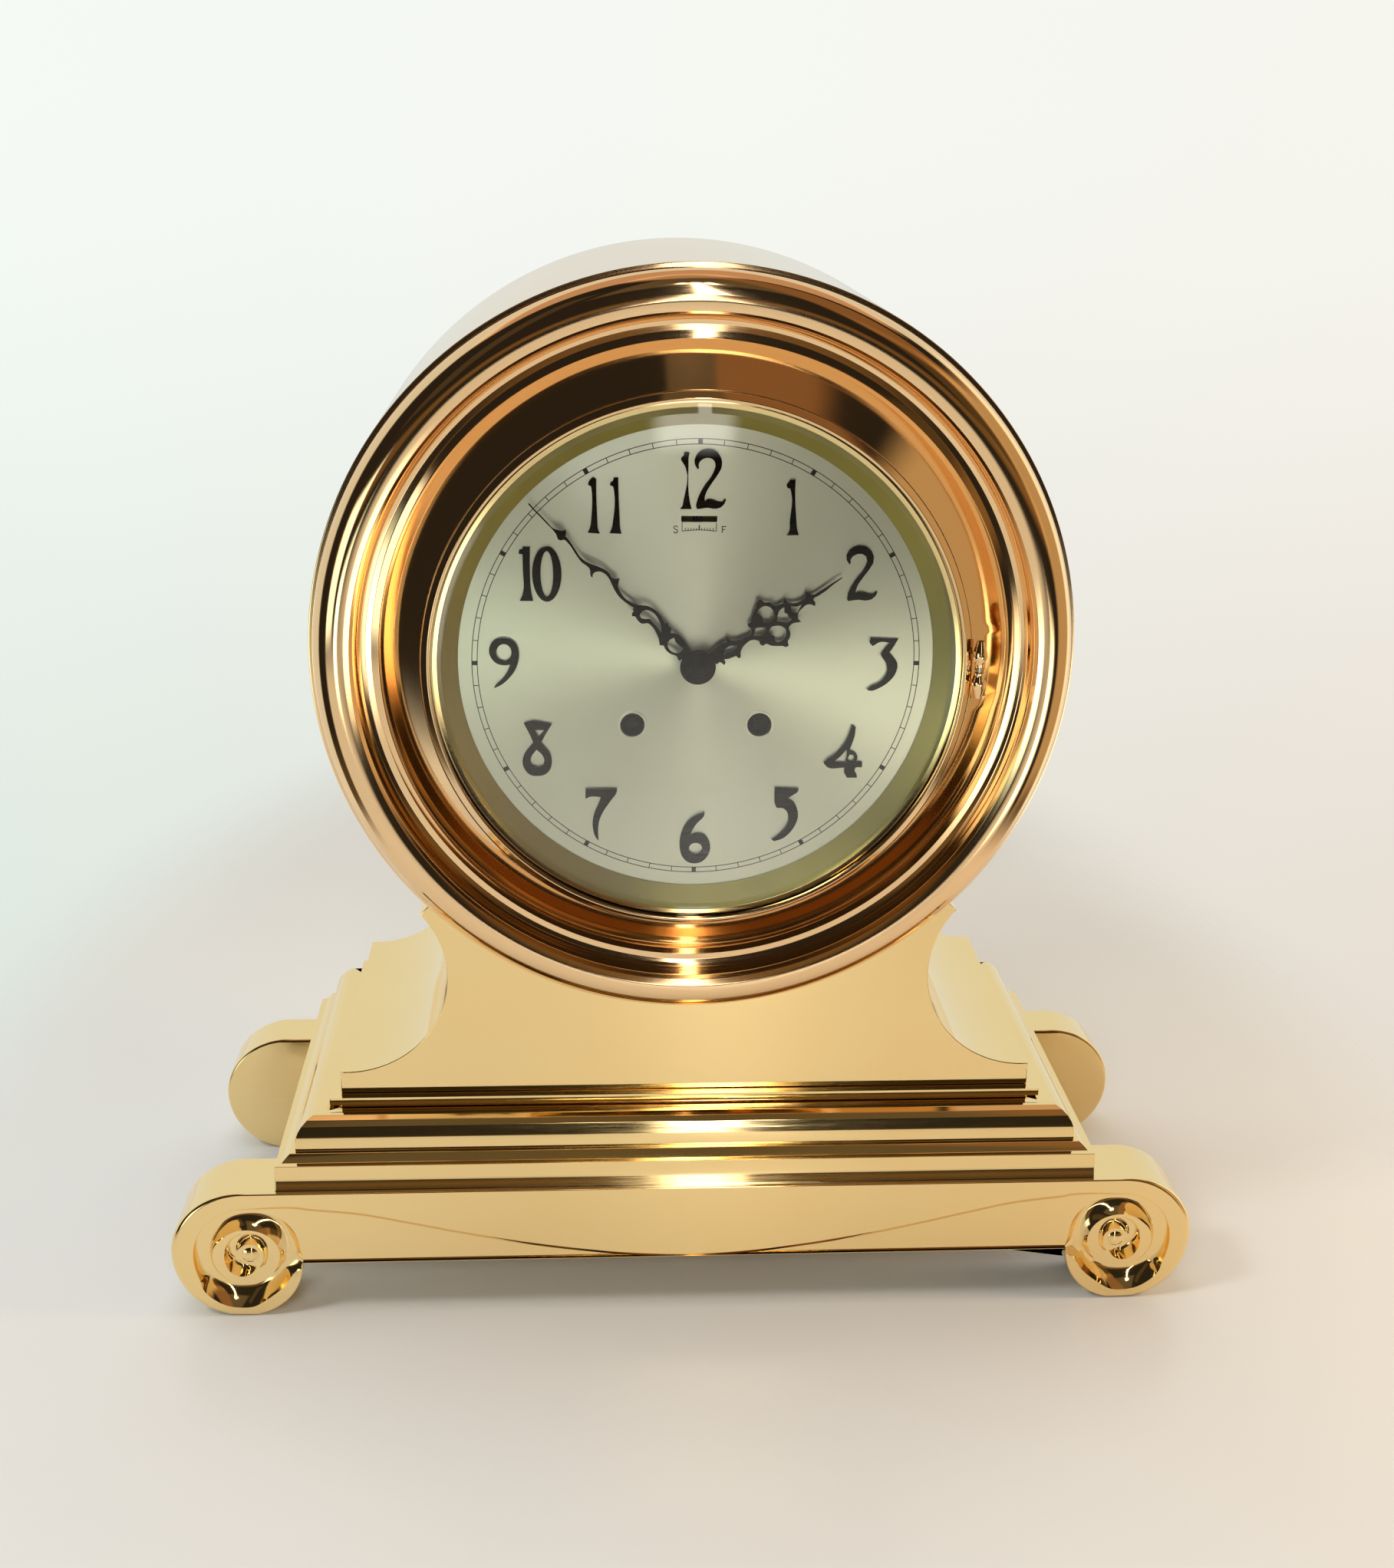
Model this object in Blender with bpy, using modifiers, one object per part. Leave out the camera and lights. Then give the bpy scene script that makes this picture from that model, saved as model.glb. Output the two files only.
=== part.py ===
"""A spring-driven striking table clock: a drum case in a saddle, on a moulded plinth and two scroll-footed rails.

The frame is +X to the clock's right hand side as seen from the front, +Y to its back and +Z up.
The origin is on the floor, under the middle of the clock. A depth is measured back from the dial's face,
and a height of anything in the drum is measured from the drum's own axis.
"""

import math

import bmesh
import bpy
from mathutils import Matrix, Vector

MM = 0.001
GAP = 0.3 * MM

# Drum case and its place
DRUM_RADIUS = 176.3 * MM
DRUM_WALL = 4.5 * MM
AXIS_HEIGHT = 331.7 * MM
DRUM_FRONT = 10.5 * MM
DRUM_BACK = 184.7 * MM
SHELF_WIDTH = 13.8 * MM
SHELF_THICKNESS = 4.0 * MM
COVER_THICKNESS = 2.4 * MM
COVER_RECESS = 4.4 * MM
COVER_SCREW_RADIUS = 2.0 * MM
COVER_SCREW_HEAD_RADIUS = 4.0 * MM
COVER_SCREW_HEAD_HEIGHT = 1.5 * MM

# Bezel, glass and hinge
BEZEL_RADIUS = 124.0 * MM
BEZEL_LIP_RADIUS = 119.9 * MM
BEZEL_LIP_FRONT = -14.3 * MM
BEZEL_EDGE_FRONT = -12.0 * MM
BEZEL_BACK = -7.5 * MM
BEZEL_WALL = 2.5 * MM
GLASS_FRONT = -13.2 * MM
GLASS_BACK = -10.2 * MM
GLASS_EDGE = 1.5 * MM
GLASS_BEVEL_INNER = 114.5 * MM
GLASS_BEVEL_OUTER = 118.8 * MM
RETAINER_WIDTH = 4.7 * MM
RETAINER_THICKNESS = 1.9 * MM
BEZEL_CLEARANCE = 0.4 * MM
HINGE_X = 127.6 * MM
HINGE_DEPTH = -12.6 * MM
KNUCKLE_RADIUS = 3.3 * MM
KNUCKLE_NECK_RADIUS = 2.1 * MM
KNUCKLE_LENGTH = 11.9 * MM
KNUCKLE_START = 1.5 * MM
KNUCKLE_WIDEST = 4.0 * MM
HINGE_PIN_RADIUS = 1.0 * MM

# Front ring: cone, valley, cove and torus round the bezel
RING_BORE = 119.5 * MM
VALLEY_RADIUS = 144.1 * MM
VALLEY_DEPTH = 6.5 * MM
COVE_RADIUS = 150.4 * MM
COVE_DEPTH = 7.6 * MM
COVE_TOP_RADIUS = 154.2 * MM
COVE_TOP_DEPTH = 4.3 * MM
TORUS_CENTRE_RADIUS = 161.5 * MM
TORUS_CENTRE_DEPTH = 9.5 * MM
TORUS_RADIUS = 12.76 * MM
TORUS_START_ANGLE = 101.0
TORUS_STEPS = 4
RING_WALL = 4.2 * MM
SPIGOT_LENGTH = 7.5 * MM
SPIGOT_WALL = 4.4 * MM
SHELF_RADIUS = 112.0 * MM
HUB_BACK = 8.5 * MM

# Dial and reflector ring
DIAL_THICKNESS = 1.5 * MM
DIAL_VISIBLE_RADIUS = 108.0 * MM
REFLECTOR_TOP_RADIUS = 117.4 * MM
REFLECTOR_TOP = -7.0 * MM
DIAL_CENTRE_HOLE = 5.2 * MM
WINDING_X = 29.2 * MM
WINDING_Z = -29.35 * MM
WINDING_HOLE_RADIUS = 5.6 * MM
SLOT_HALF_WIDTH = 8.0 * MM
SLOT_LOW = 64.8 * MM
SLOT_HIGH = 67.5 * MM
INDEX_RADIUS = 0.8 * MM

# Saddle
SADDLE_HALF_WIDTH = 171.8 * MM
SADDLE_FRONT = 18.4 * MM
SADDLE_DEPTH = 162.0 * MM
SADDLE_FOOT_HEIGHT = 11.2 * MM
FOOT_LAND = 2.8 * MM
HORN_REACH = 8.0 * MM
HORN_ANGLE = 45
SADDLE_WALL = 6.0 * MM

# Plinth: how far each moulding stands out from the saddle, and its height
PLINTH_OUT = 29.9 * MM
PLINTH_BAND_TOP = 82.1 * MM
PLINTH_BACK = 180.0 * MM
CHAMFER_OUT = 27.0 * MM
CHAMFER_TOP_OUT = 23.3 * MM
FILLET_OUT = 20.9 * MM
FILLET_LOW = 85.6 * MM
FILLET_HIGH = 89.9 * MM
OVOLO_OUT = 10.9 * MM
OVOLO_TOP = 101.0 * MM
OVOLO_STEPS = 4
WEATHERING = 0.2 * MM
LEAF_OUT = 5.3 * MM
LEAF_LOW = 101.95 * MM
LEAF_TOP = 105.9 * MM
PLINTH_WALL = 6.0 * MM
PLINTH_CEILING = 92.0 * MM

# Scroll rails
RAIL_TOP = 68.3 * MM
RAIL_UNDERSIDE = 29.4 * MM
FRONT_RAIL_THICKNESS = 35.5 * MM
REAR_RAIL_THICKNESS = 28.5 * MM
RAIL_LEDGE = 2.0 * MM
REAR_RAIL_BACK = 183.3 * MM
EYE_X = 215.8 * MM
EYE_HEIGHT = 35.0 * MM
EYE_RADIUS = 6.5 * MM
FOOT_FLAT = 0.5 * MM
RELIEF = 1.5 * MM
RIM = 0.5 * MM
SCROLL_RADII = (33.3, 38.45, 35.3, 25.2, 24.0, 25.4, 24.8)
RIBBON_RADII = (25.3, 27.2, 25.6, 21.9, 21.3, 19.1, 24.2)
INNER_FILLET_OUTER = (12.1, 16.5, 14.0, 14.0)
INNER_FILLET_INNER = (10.3, 12.5, 12.2, 9.6)
VOLUTE_STEPS = 6
APRON_LOW = 30.6 * MM
APRON_RISE = 31.3 * MM
APRON_SPAN = 212.0 * MM
APRON_STEPS = 12

# Bolts
BOLT_RADIUS = 3.2 * MM
BOLT_HEAD_RADIUS = 6.0 * MM
BOLT_HEAD_HEIGHT = 4.0 * MM
RAIL_BOLT_X = 150.0 * MM
RAIL_BOLT_INSET = 10.0 * MM
RAIL_BOLT_REACH = 14.0 * MM
BOSS_RADIUS = 8.0 * MM
BOSS_MERGE = 1.5 * MM
SADDLE_BOLT_X = 85.0 * MM
SADDLE_BOLT_REACH = 12.0 * MM
CASE_BOLT_DEPTHS = (55.0 * MM, 145.0 * MM)
CASE_BOLT_PROUD = 3.0 * MM

# Movement: plates, pillars and planes, as depths behind the dial's face
SEAT_THICKNESS = 2.9 * MM
SEAT_BORE = 70.0 * MM
SEAT_RADIUS = 134.0 * MM
PLATE_RADIUS = 78.0 * MM
PLATE_THICKNESS = 2.5 * MM
PLATE_SPACING = 43.0 * MM
PILLAR_RADIUS = 5.0 * MM
PILLAR_CIRCLE = 70.0 * MM
SPIGOT_RADIUS = 2.7 * MM
PIVOT_RADIUS = 1.2 * MM
ARBOR_RADIUS = 1.5 * MM
CENTRE_ARBOR_RADIUS = 2.5 * MM
WINDING_ARBOR_RADIUS = 4.0 * MM
WINDING_SQUARE = 4.4 * MM
WINDING_SQUARE_FRONT = 3.2 * MM

# Trains: teeth, modules and places, x to the right and z up from the drum's axis
LEAVES = 6
GREAT_TEETH = 30
GREAT_MODULE = 2.1 * MM
SECOND_TEETH = 24
SECOND_MODULE = 1.68 * MM
CENTRE_TEETH = 30
CENTRE_MODULE = 1.4 * MM
THIRD_TEETH = 24
THIRD_MODULE = 1.2 * MM
ESCAPE_TEETH = 15
ESCAPE_RADIUS = 9.0 * MM
CANNON_LEAVES = 8
MINUTE_TEETH = 24
HOUR_TEETH = 24
MOTION_MODULE = 1.0 * MM
THIRD_DIRECTION = 78.6
MINUTE_WHEEL_DIRECTION = 180.0
ESCAPE_PLACE = (-8.0 * MM, 42.45 * MM)
PALLET_PLACE = (3.7 * MM, 45.0 * MM)
BALANCE_PLACE = (17.4 * MM, 48.0 * MM)
HAMMER_PLACE = (-56.0 * MM, 36.0 * MM)
REGULATOR_PLACE = (0.0, 20.0 * MM)
CLICK_OFFSET = (14.5 * MM, 12.0 * MM)
WHEEL_THICKNESS = 1.6 * MM
BARREL_RADIUS = 27.5 * MM
BARREL_WALL = 1.6 * MM
BARREL_FRONT = 25.0 * MM
BARREL_BACK = 46.8 * MM
SPRING_TURNS = 3
SPRING_STEPS = 9
RATCHET_RADIUS = 9.5 * MM
RATCHET_TEETH = 16
BALANCE_RADIUS = 12.0 * MM
HAIRSPRING_TURNS = 3
COCK_DEPTH = 76.0 * MM
PIN_COUNT = 8
PIN_CIRCLE = 12.5 * MM
PIN_RADIUS = 1.0 * MM

# Bell and hammer
BELL_X = 14.0 * MM
BELL_Z = -14.0 * MM
BELL_RADIUS = 50.0 * MM
BELL_RIM = 84.0 * MM
BELL_CROWN = 118.0 * MM
BELL_WALL = 3.0 * MM
HAMMER_HEAD_RADIUS = 5.0 * MM
HAMMER_HEAD_REST = 3.0 * MM

# Hands, as shown: twelve minutes before two
HOUR_HAND_ANGLE = 57.7
HOUR_HAND_LENGTH = 76.2 * MM
MINUTE_HAND_LENGTH = 105.5 * MM
HAND_BOSS_RADIUS = 7.0 * MM
MINUTE_HAND_ANGLE = -45.7
HOUR_HAND_FRONT = -4.2 * MM
MINUTE_HAND_FRONT = -6.6 * MM
HAND_THICKNESS = 0.8 * MM
HAND_STEM = 1.8 * MM
CANNON_BORE = 1.9 * MM
CANNON_RADIUS = 2.7 * MM
HOUR_PIPE_RADIUS = 4.3 * MM
NUT_RADIUS = 8.1 * MM
NUT_CAP_RADIUS = 4.1 * MM

LARGE_STEPS = 40
MEDIUM_STEPS = 24
SMALL_STEPS = 12
HOLE_POINTS = 6

FRONT_REACH = KNUCKLE_RADIUS - HINGE_DEPTH
DIAL_Y = (FRONT_REACH - DRUM_BACK) / 2
FRONT_PLATE_FRONT = HUB_BACK + SEAT_THICKNESS + 2 * GAP
FRONT_PLATE_BACK = FRONT_PLATE_FRONT + PLATE_THICKNESS
BACK_PLATE_FRONT = FRONT_PLATE_BACK + PLATE_SPACING
BACK_PLATE_BACK = BACK_PLATE_FRONT + PLATE_THICKNESS
DRUM_INSIDE = DRUM_RADIUS - DRUM_WALL
CRADLE_RADIUS = DRUM_RADIUS + GAP
SHELF_INNER_RADIUS = DRUM_INSIDE - SHELF_WIDTH

FINISHES = {
    "lacquered_brass": ((0.80, 0.58, 0.28), 1.0, 0.22),
    "rosy_bronze": ((0.72, 0.46, 0.28), 1.0, 0.2),
    "silvered_brass": ((0.62, 0.58, 0.50), 1.0, 0.38),
    "olive_gilt": ((0.45, 0.42, 0.22), 1.0, 0.5),
    "bronzed_steel": ((0.04, 0.03, 0.02), 0.8, 0.4),
    "movement_brass": ((0.78, 0.60, 0.30), 1.0, 0.3),
    "polished_steel": ((0.55, 0.56, 0.58), 1.0, 0.25),
    "blued_spring_steel": ((0.05, 0.08, 0.20), 1.0, 0.3),
    "bell_bronze": ((0.75, 0.55, 0.32), 1.0, 0.18),
    "plate_glass": ((0.92, 0.95, 0.94), 0.0, 0.02),
}


def clear_scene():
    for thing in list(bpy.data.objects):
        bpy.data.objects.remove(thing)
    for mesh in list(bpy.data.meshes):
        bpy.data.meshes.remove(mesh)


def new_collection(name):
    collection = bpy.data.collections.new(name)
    bpy.context.scene.collection.children.link(collection)
    return collection


def finish_of(name):
    material = bpy.data.materials.get(name)
    if material is None:
        colour, metallic, roughness = FINISHES[name]
        material = bpy.data.materials.new(name)
        material.use_nodes = True
        shader = material.node_tree.nodes["Principled BSDF"]
        shader.inputs["Base Color"].default_value = (*colour, 1.0)
        shader.inputs["Metallic"].default_value = metallic
        shader.inputs["Roughness"].default_value = roughness
    return material


def drum_point(x, depth, z):
    """The world place of a point x to the right, this deep behind the dial's face, z above the drum's axis."""
    return Vector((x, DIAL_Y + depth, AXIS_HEIGHT + z))


def area_of(points):
    pairs = zip(points, points[1:] + points[:1])
    return sum(a[0] * b[1] - b[0] * a[1] for a, b in pairs) / 2


def keep(obj, name, finish):
    """Names the object as a part of the clock and gives it its finish."""
    obj.name = name
    obj.data.name = name
    obj.data.materials.clear()
    obj.data.materials.append(finish_of(finish))
    for collection in list(obj.users_collection):
        collection.objects.unlink(obj)
    PARTS.objects.link(obj)
    return obj


def as_helper(obj, name):
    """Makes the object a cutter or an operand, which isn't rendered."""
    obj.name = name
    for collection in list(obj.users_collection):
        collection.objects.unlink(obj)
    CUTTERS.objects.link(obj)
    obj.hide_render = True
    obj.display_type = "WIRE"
    return obj


def object_from(bm, name):
    mesh = bpy.data.meshes.new(name)
    bm.to_mesh(mesh)
    bm.free()
    obj = bpy.data.objects.new(name, mesh)
    PARTS.objects.link(obj)
    return obj


def turned(profile, steps, closed=True, along_y=True, place=(0.0, 0.0, 0.0)):
    """A turned solid. The profile holds (radius, distance along the axis) points.

    A closed profile goes round a ring's section. An open one starts and ends on the axis.
    """
    points = list(profile)
    if closed and area_of(points) > 0:
        points.reverse()
    if not closed and points[0][1] < points[-1][1]:
        points.reverse()
    bm = bmesh.new()
    verts = [bm.verts.new((radius, 0.0, distance)) for radius, distance in points]
    for first, second in zip(verts, verts[1:]):
        bm.edges.new((first, second))
    if closed:
        bm.edges.new((verts[-1], verts[0]))
    obj = object_from(bm, "turned")
    screw = obj.modifiers.new("Screw", "SCREW")
    screw.axis = "Z"
    screw.angle = math.tau
    screw.steps = steps
    screw.render_steps = steps
    screw.use_merge_vertices = True
    screw.merge_threshold = 1e-7
    if along_y:
        obj.rotation_euler = (-math.pi / 2, 0.0, 0.0)
    obj.location = place
    return obj


def circle(radius, count, x=0.0, z=0.0, turn=0.0):
    step = math.tau / count
    return [(x + radius * math.cos(turn + i * step), z + radius * math.sin(turn + i * step)) for i in range(count)]


def plate(outlines, front, back, flat=False):
    """A flat piece cut from sheet. The outlines are in the plane of the dial, or level when flat is set.

    front and back are its two faces along +Y, or its lower and upper faces when flat is set.
    """
    curve = bpy.data.curves.new("plate", "CURVE")
    curve.dimensions = "2D"
    curve.fill_mode = "BOTH"
    curve.extrude = (back - front) / 2
    for outline in outlines:
        spline = curve.splines.new("POLY")
        spline.points.add(len(outline) - 1)
        for point, (u, v) in zip(spline.points, outline):
            point.co = (u, v, 0.0, 1.0)
        spline.use_cyclic_u = True
    obj = bpy.data.objects.new("plate", curve)
    PARTS.objects.link(obj)
    middle = (front + back) / 2
    if flat:
        obj.location = (0.0, 0.0, middle)
    else:
        obj.rotation_euler = (math.pi / 2, 0.0, 0.0)
        obj.location = (0.0, middle, 0.0)
    return obj


def drum_plate(outlines, front, back):
    """A flat piece in the drum: outlines about the drum's axis, faces as depths behind the dial."""
    obj = plate(outlines, DIAL_Y + front, DIAL_Y + back)
    obj.location.z = AXIS_HEIGHT
    return obj


def as_mesh(obj):
    """The object as its modifiers and curve settings make it, with its caps welded."""
    bpy.context.view_layer.update()
    graph = bpy.context.evaluated_depsgraph_get()
    mesh = bpy.data.meshes.new_from_object(obj.evaluated_get(graph))
    solid = bpy.data.objects.new(obj.name, mesh)
    solid.matrix_world = obj.matrix_world.copy()
    bm = bmesh.new()
    bm.from_mesh(mesh)
    bmesh.ops.remove_doubles(bm, verts=bm.verts, dist=1e-7)
    bmesh.ops.recalc_face_normals(bm, faces=bm.faces)
    bm.to_mesh(mesh)
    bm.free()
    PARTS.objects.link(solid)
    bpy.data.objects.remove(obj)
    return solid


def combined(base, operation, others):
    """The base with the others joined to it or cut from it."""
    base = as_mesh(base) if base.type == "CURVE" or base.modifiers else base
    for number, other in enumerate(others):
        tool = as_helper(as_mesh(other), f"{operation.lower()}_{number}")
        boolean = base.modifiers.new(f"{operation}_{number}", "BOOLEAN")
        boolean.operation = operation
        boolean.object = tool
        boolean.solver = "EXACT"
    solid = as_mesh(base)
    for other in list(CUTTERS.objects):
        bpy.data.objects.remove(other)
    return solid


def joined(base, *others):
    return combined(base, "UNION", others)


def cut(base, *others):
    return combined(base, "DIFFERENCE", others)


def rod(radius, front, back, x=0.0, z=0.0, steps=SMALL_STEPS):
    """A plain round bar along +Y in the drum."""
    profile = [(0.0, front), (radius, front), (radius, back), (0.0, back)]
    return turned(profile, steps, closed=False, place=drum_point(x, 0.0, z))


def arbor(sizes, x=0.0, z=0.0, steps=SMALL_STEPS):
    """A stepped bar along +Y in the drum: sizes holds (radius, front, back) for each step in turn."""
    profile = [(0.0, sizes[0][1])]
    for radius, front, back in sizes:
        profile += [(radius, front), (radius, back)]
    profile.append((0.0, sizes[-1][2]))
    return turned(profile, steps, closed=False, place=drum_point(x, 0.0, z))


def upright(radius, low, high, x, y, steps=SMALL_STEPS):
    profile = [(0.0, low), (radius, low), (radius, high), (0.0, high)]
    return turned(profile, steps, closed=False, along_y=False, place=(x, y, 0.0))


def tooth_outline(teeth, module, toward, gap_first=False, x=0.0, z=0.0):
    """The outline of a wheel or pinion with straight-flanked teeth.

    A tooth points in the direction toward, in degrees from +X, or a gap does when gap_first is set.
    """
    pitch = teeth * module / 2
    backlash = 0.16 * module
    half_at_pitch = math.pi * module / 4 - backlash / 2
    tip, root = pitch + 0.85 * module, pitch - 1.15 * module
    few = teeth <= 12
    tip_half = half_at_pitch * (0.35 if few else 0.42) / tip
    root_half = half_at_pitch * (1.05 if few else 1.5) / root
    start = math.radians(toward) + (math.pi / teeth if gap_first else 0.0)
    outline = []
    for number in range(teeth):
        middle = start + number * math.tau / teeth
        for radius, angle in ((root, -root_half), (tip, -tip_half), (tip, tip_half), (root, root_half)):
            outline.append((x + radius * math.cos(middle + angle), z + radius * math.sin(middle + angle)))
    return outline


def saw_outline(teeth, radius, depth, x=0.0, z=0.0):
    """The outline of a ratchet or escape wheel."""
    outline = []
    for number in range(teeth):
        angle = number * math.tau / teeth
        outline.append((x + radius * math.cos(angle), z + radius * math.sin(angle)))
        angle += 0.12 * math.tau / teeth
        outline.append((x + (radius - depth) * math.cos(angle), z + (radius - depth) * math.sin(angle)))
    return outline


def toward(start, end):
    return math.degrees(math.atan2(end[1] - start[1], end[0] - start[0]))


def along(start, direction, distance):
    angle = math.radians(direction)
    return (start[0] + distance * math.cos(angle), start[1] + distance * math.sin(angle))


def where_circles_meet(first, first_radius, second, second_radius, side):
    """The place at these distances from two others. side is +1 or -1 for either side of the line between them."""
    between = math.dist(first, second)
    along_line = (first_radius ** 2 - second_radius ** 2 + between ** 2) / (2 * between)
    off_line = side * math.sqrt(first_radius ** 2 - along_line ** 2)
    ux, uz = (second[0] - first[0]) / between, (second[1] - first[1]) / between
    return (first[0] + along_line * ux - off_line * uz, first[1] + along_line * uz + off_line * ux)


CENTRE = (0.0, 0.0)
TIME_ARBOR = (WINDING_X, WINDING_Z)
STRIKE_ARBOR = (-WINDING_X, WINDING_Z)
GREAT_MESH = (GREAT_TEETH + LEAVES) * GREAT_MODULE / 2
SECOND_MESH = (SECOND_TEETH + LEAVES) * SECOND_MODULE / 2
CENTRE_MESH = (CENTRE_TEETH + LEAVES) * CENTRE_MODULE / 2
MOTION_MESH = (CANNON_LEAVES + MINUTE_TEETH) * MOTION_MODULE / 2
HOUR_MODULE = 2 * MOTION_MESH / (LEAVES + HOUR_TEETH)
SECOND_PLACE = where_circles_meet(CENTRE, SECOND_MESH, TIME_ARBOR, GREAT_MESH, 1)
PIN_WHEEL_PLACE = (-SECOND_PLACE[0], SECOND_PLACE[1])
THIRD_PLACE = along(CENTRE, THIRD_DIRECTION, CENTRE_MESH)
MINUTE_WHEEL_PLACE = along(CENTRE, MINUTE_WHEEL_DIRECTION, MOTION_MESH)
TIME_CLICK_PLACE = (TIME_ARBOR[0] + CLICK_OFFSET[0], TIME_ARBOR[1] + CLICK_OFFSET[1])
STRIKE_CLICK_PLACE = (-TIME_CLICK_PLACE[0], TIME_CLICK_PLACE[1])


def pivot(name, location):
    """An empty on a joint's axis, which carries the pieces that move about it."""
    empty = bpy.data.objects.new(name, None)
    empty.empty_display_size = 0.02
    PARTS.objects.link(empty)
    empty.location = location
    return empty


def carry(empty, *pieces):
    for piece in pieces:
        piece.parent = empty
        piece.matrix_parent_inverse = Matrix.Translation(-empty.location)


# Base


def radius_at(radii, quarter, closed=False):
    """A smooth radius between the ones given at each quarter turn."""
    last = len(radii)
    low = int(math.floor(quarter))
    part = quarter - low

    def get(index):
        return radii[index % last] if closed else radii[min(max(index, 0), last - 1)]

    before, start, end, after = (get(low + k) for k in (-1, 0, 1, 2))
    slope_start, slope_end = (end - before) / 2, (after - start) / 2
    return (
        start * (1 + 2 * part) * (1 - part) ** 2
        + slope_start * part * (1 - part) ** 2
        + end * part ** 2 * (3 - 2 * part)
        + slope_end * part ** 2 * (part - 1)
    )


def volute_point(radius, quarter):
    """A point of the left scroll, about its eye, a number of quarter turns from the top toward the outside."""
    angle = quarter * math.pi / 2
    x = -EYE_X - radius * math.sin(angle)
    z = EYE_HEIGHT + radius * math.cos(angle)
    return (x, z if z > FOOT_FLAT else 0.0)


def volute(radii, start, end, steps=VOLUTE_STEPS, shrink=0.0):
    count = round((end - start) * steps)
    quarters = [start + (end - start) * i / count for i in range(count + 1)]
    return [volute_point(radius_at(radii, q) * MM - shrink, q) for q in quarters]


def mirrored(points):
    return [(-x, z) for x, z in reversed(points)]


def scroll_end_quarter():
    """Where the scroll's outer side meets the rail's underside."""
    quarter = 2.5
    while volute_point(radius_at(SCROLL_RADII, quarter) * MM, quarter)[1] < RAIL_UNDERSIDE:
        quarter += 0.005
    return quarter


def rail_outline():
    left = volute(SCROLL_RADII, 0.0, scroll_end_quarter())
    left[-1] = (left[-1][0], RAIL_UNDERSIDE)
    return left + mirrored(left)


def apron_line():
    """The S-curved lower edge of the raised apron, from left to right."""
    ends = RIBBON_RADII[0] * MM + EYE_HEIGHT
    points = []
    for number in range(1, 2 * APRON_STEPS):
        x = -APRON_SPAN + number * APRON_SPAN / APRON_STEPS
        height = APRON_LOW + APRON_RISE * (1 - math.cos(math.pi * x / APRON_SPAN)) / 2
        points.append((x, min(height, ends)))
    return points


def relief_outline():
    """The raised apron and ribbon of the front rail, as one outline."""
    turns = len(SCROLL_RADII) - 1
    outer = volute(SCROLL_RADII, 0.0, turns, shrink=RIM)
    inner = volute(RIBBON_RADII, 0.0, turns)
    left_out = [(x, min(z, RAIL_TOP - RIM)) for x, z in outer]
    left_back = list(reversed(inner))
    return left_out + left_back + apron_line() + mirrored(left_out + left_back)


def closed_volute(radii, side):
    count = 4 * VOLUTE_STEPS // 2
    points = [volute_point(radius_at(radii, 4 * i / count, closed=True) * MM, 4 * i / count) for i in range(count)]
    return points if side < 0 else mirrored(points)


def bolt_holes(places, low, high):
    return [upright(BOLT_RADIUS + GAP, low, high, x, y) for x, y in places]


PLINTH_FRONT = DIAL_Y + SADDLE_FRONT - PLINTH_OUT
FRONT_RAIL_FRONT = PLINTH_FRONT - RAIL_LEDGE
FRONT_RAIL_BACK = FRONT_RAIL_FRONT + FRONT_RAIL_THICKNESS
REAR_RAIL_REAR = DIAL_Y + REAR_RAIL_BACK
REAR_RAIL_FRONT = REAR_RAIL_REAR - REAR_RAIL_THICKNESS
BOSS_INSET = PLINTH_WALL + BOSS_RADIUS - BOSS_MERGE
RAIL_BOLT_Y = (DIAL_Y + SADDLE_FRONT - RAIL_BOLT_INSET, DIAL_Y + PLINTH_BACK - BOSS_INSET)
SADDLE_MIDDLE_Y = DIAL_Y + SADDLE_FRONT + SADDLE_DEPTH / 2
PLINTH_LOW = RAIL_TOP + GAP
SADDLE_LOW = LEAF_TOP + GAP
FLANK_CENTRE_X = SADDLE_HALF_WIDTH - FOOT_LAND


def rail_bolt_places():
    return [(side * RAIL_BOLT_X, y) for y in RAIL_BOLT_Y for side in (-1, 1)]


def front_scroll_rail():
    slab_front = FRONT_RAIL_FRONT + RELIEF
    body = plate([rail_outline()], slab_front, FRONT_RAIL_BACK)
    raised = [plate([relief_outline()], FRONT_RAIL_FRONT, slab_front + RELIEF)]
    for side in (-1, 1):
        rings = [closed_volute(INNER_FILLET_OUTER, side), closed_volute(INNER_FILLET_INNER, side)]
        raised.append(plate(rings, FRONT_RAIL_FRONT + RIM, slab_front + RELIEF))
        eye = [(0.0, 0.0), (EYE_RADIUS * 0.6, 0.0), (EYE_RADIUS, RELIEF), (EYE_RADIUS, 2 * RELIEF), (0.0, 2 * RELIEF)]
        place = (side * EYE_X, FRONT_RAIL_FRONT, EYE_HEIGHT)
        raised.append(turned(eye, SMALL_STEPS, closed=False, place=place))
    rail = joined(body, *raised)
    places = [place for place in rail_bolt_places() if place[1] == RAIL_BOLT_Y[0]]
    rail = cut(rail, *bolt_holes(places, 0.0, RAIL_TOP + RIM))
    keep(rail, "front_scroll_rail", "lacquered_brass")


def rear_scroll_rail():
    body = plate([rail_outline()], REAR_RAIL_FRONT, REAR_RAIL_REAR)
    places = [place for place in rail_bolt_places() if place[1] == RAIL_BOLT_Y[1]]
    rail = cut(body, *bolt_holes(places, 0.0, RAIL_TOP + RIM))
    keep(rail, "rear_scroll_rail", "lacquered_brass")


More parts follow.
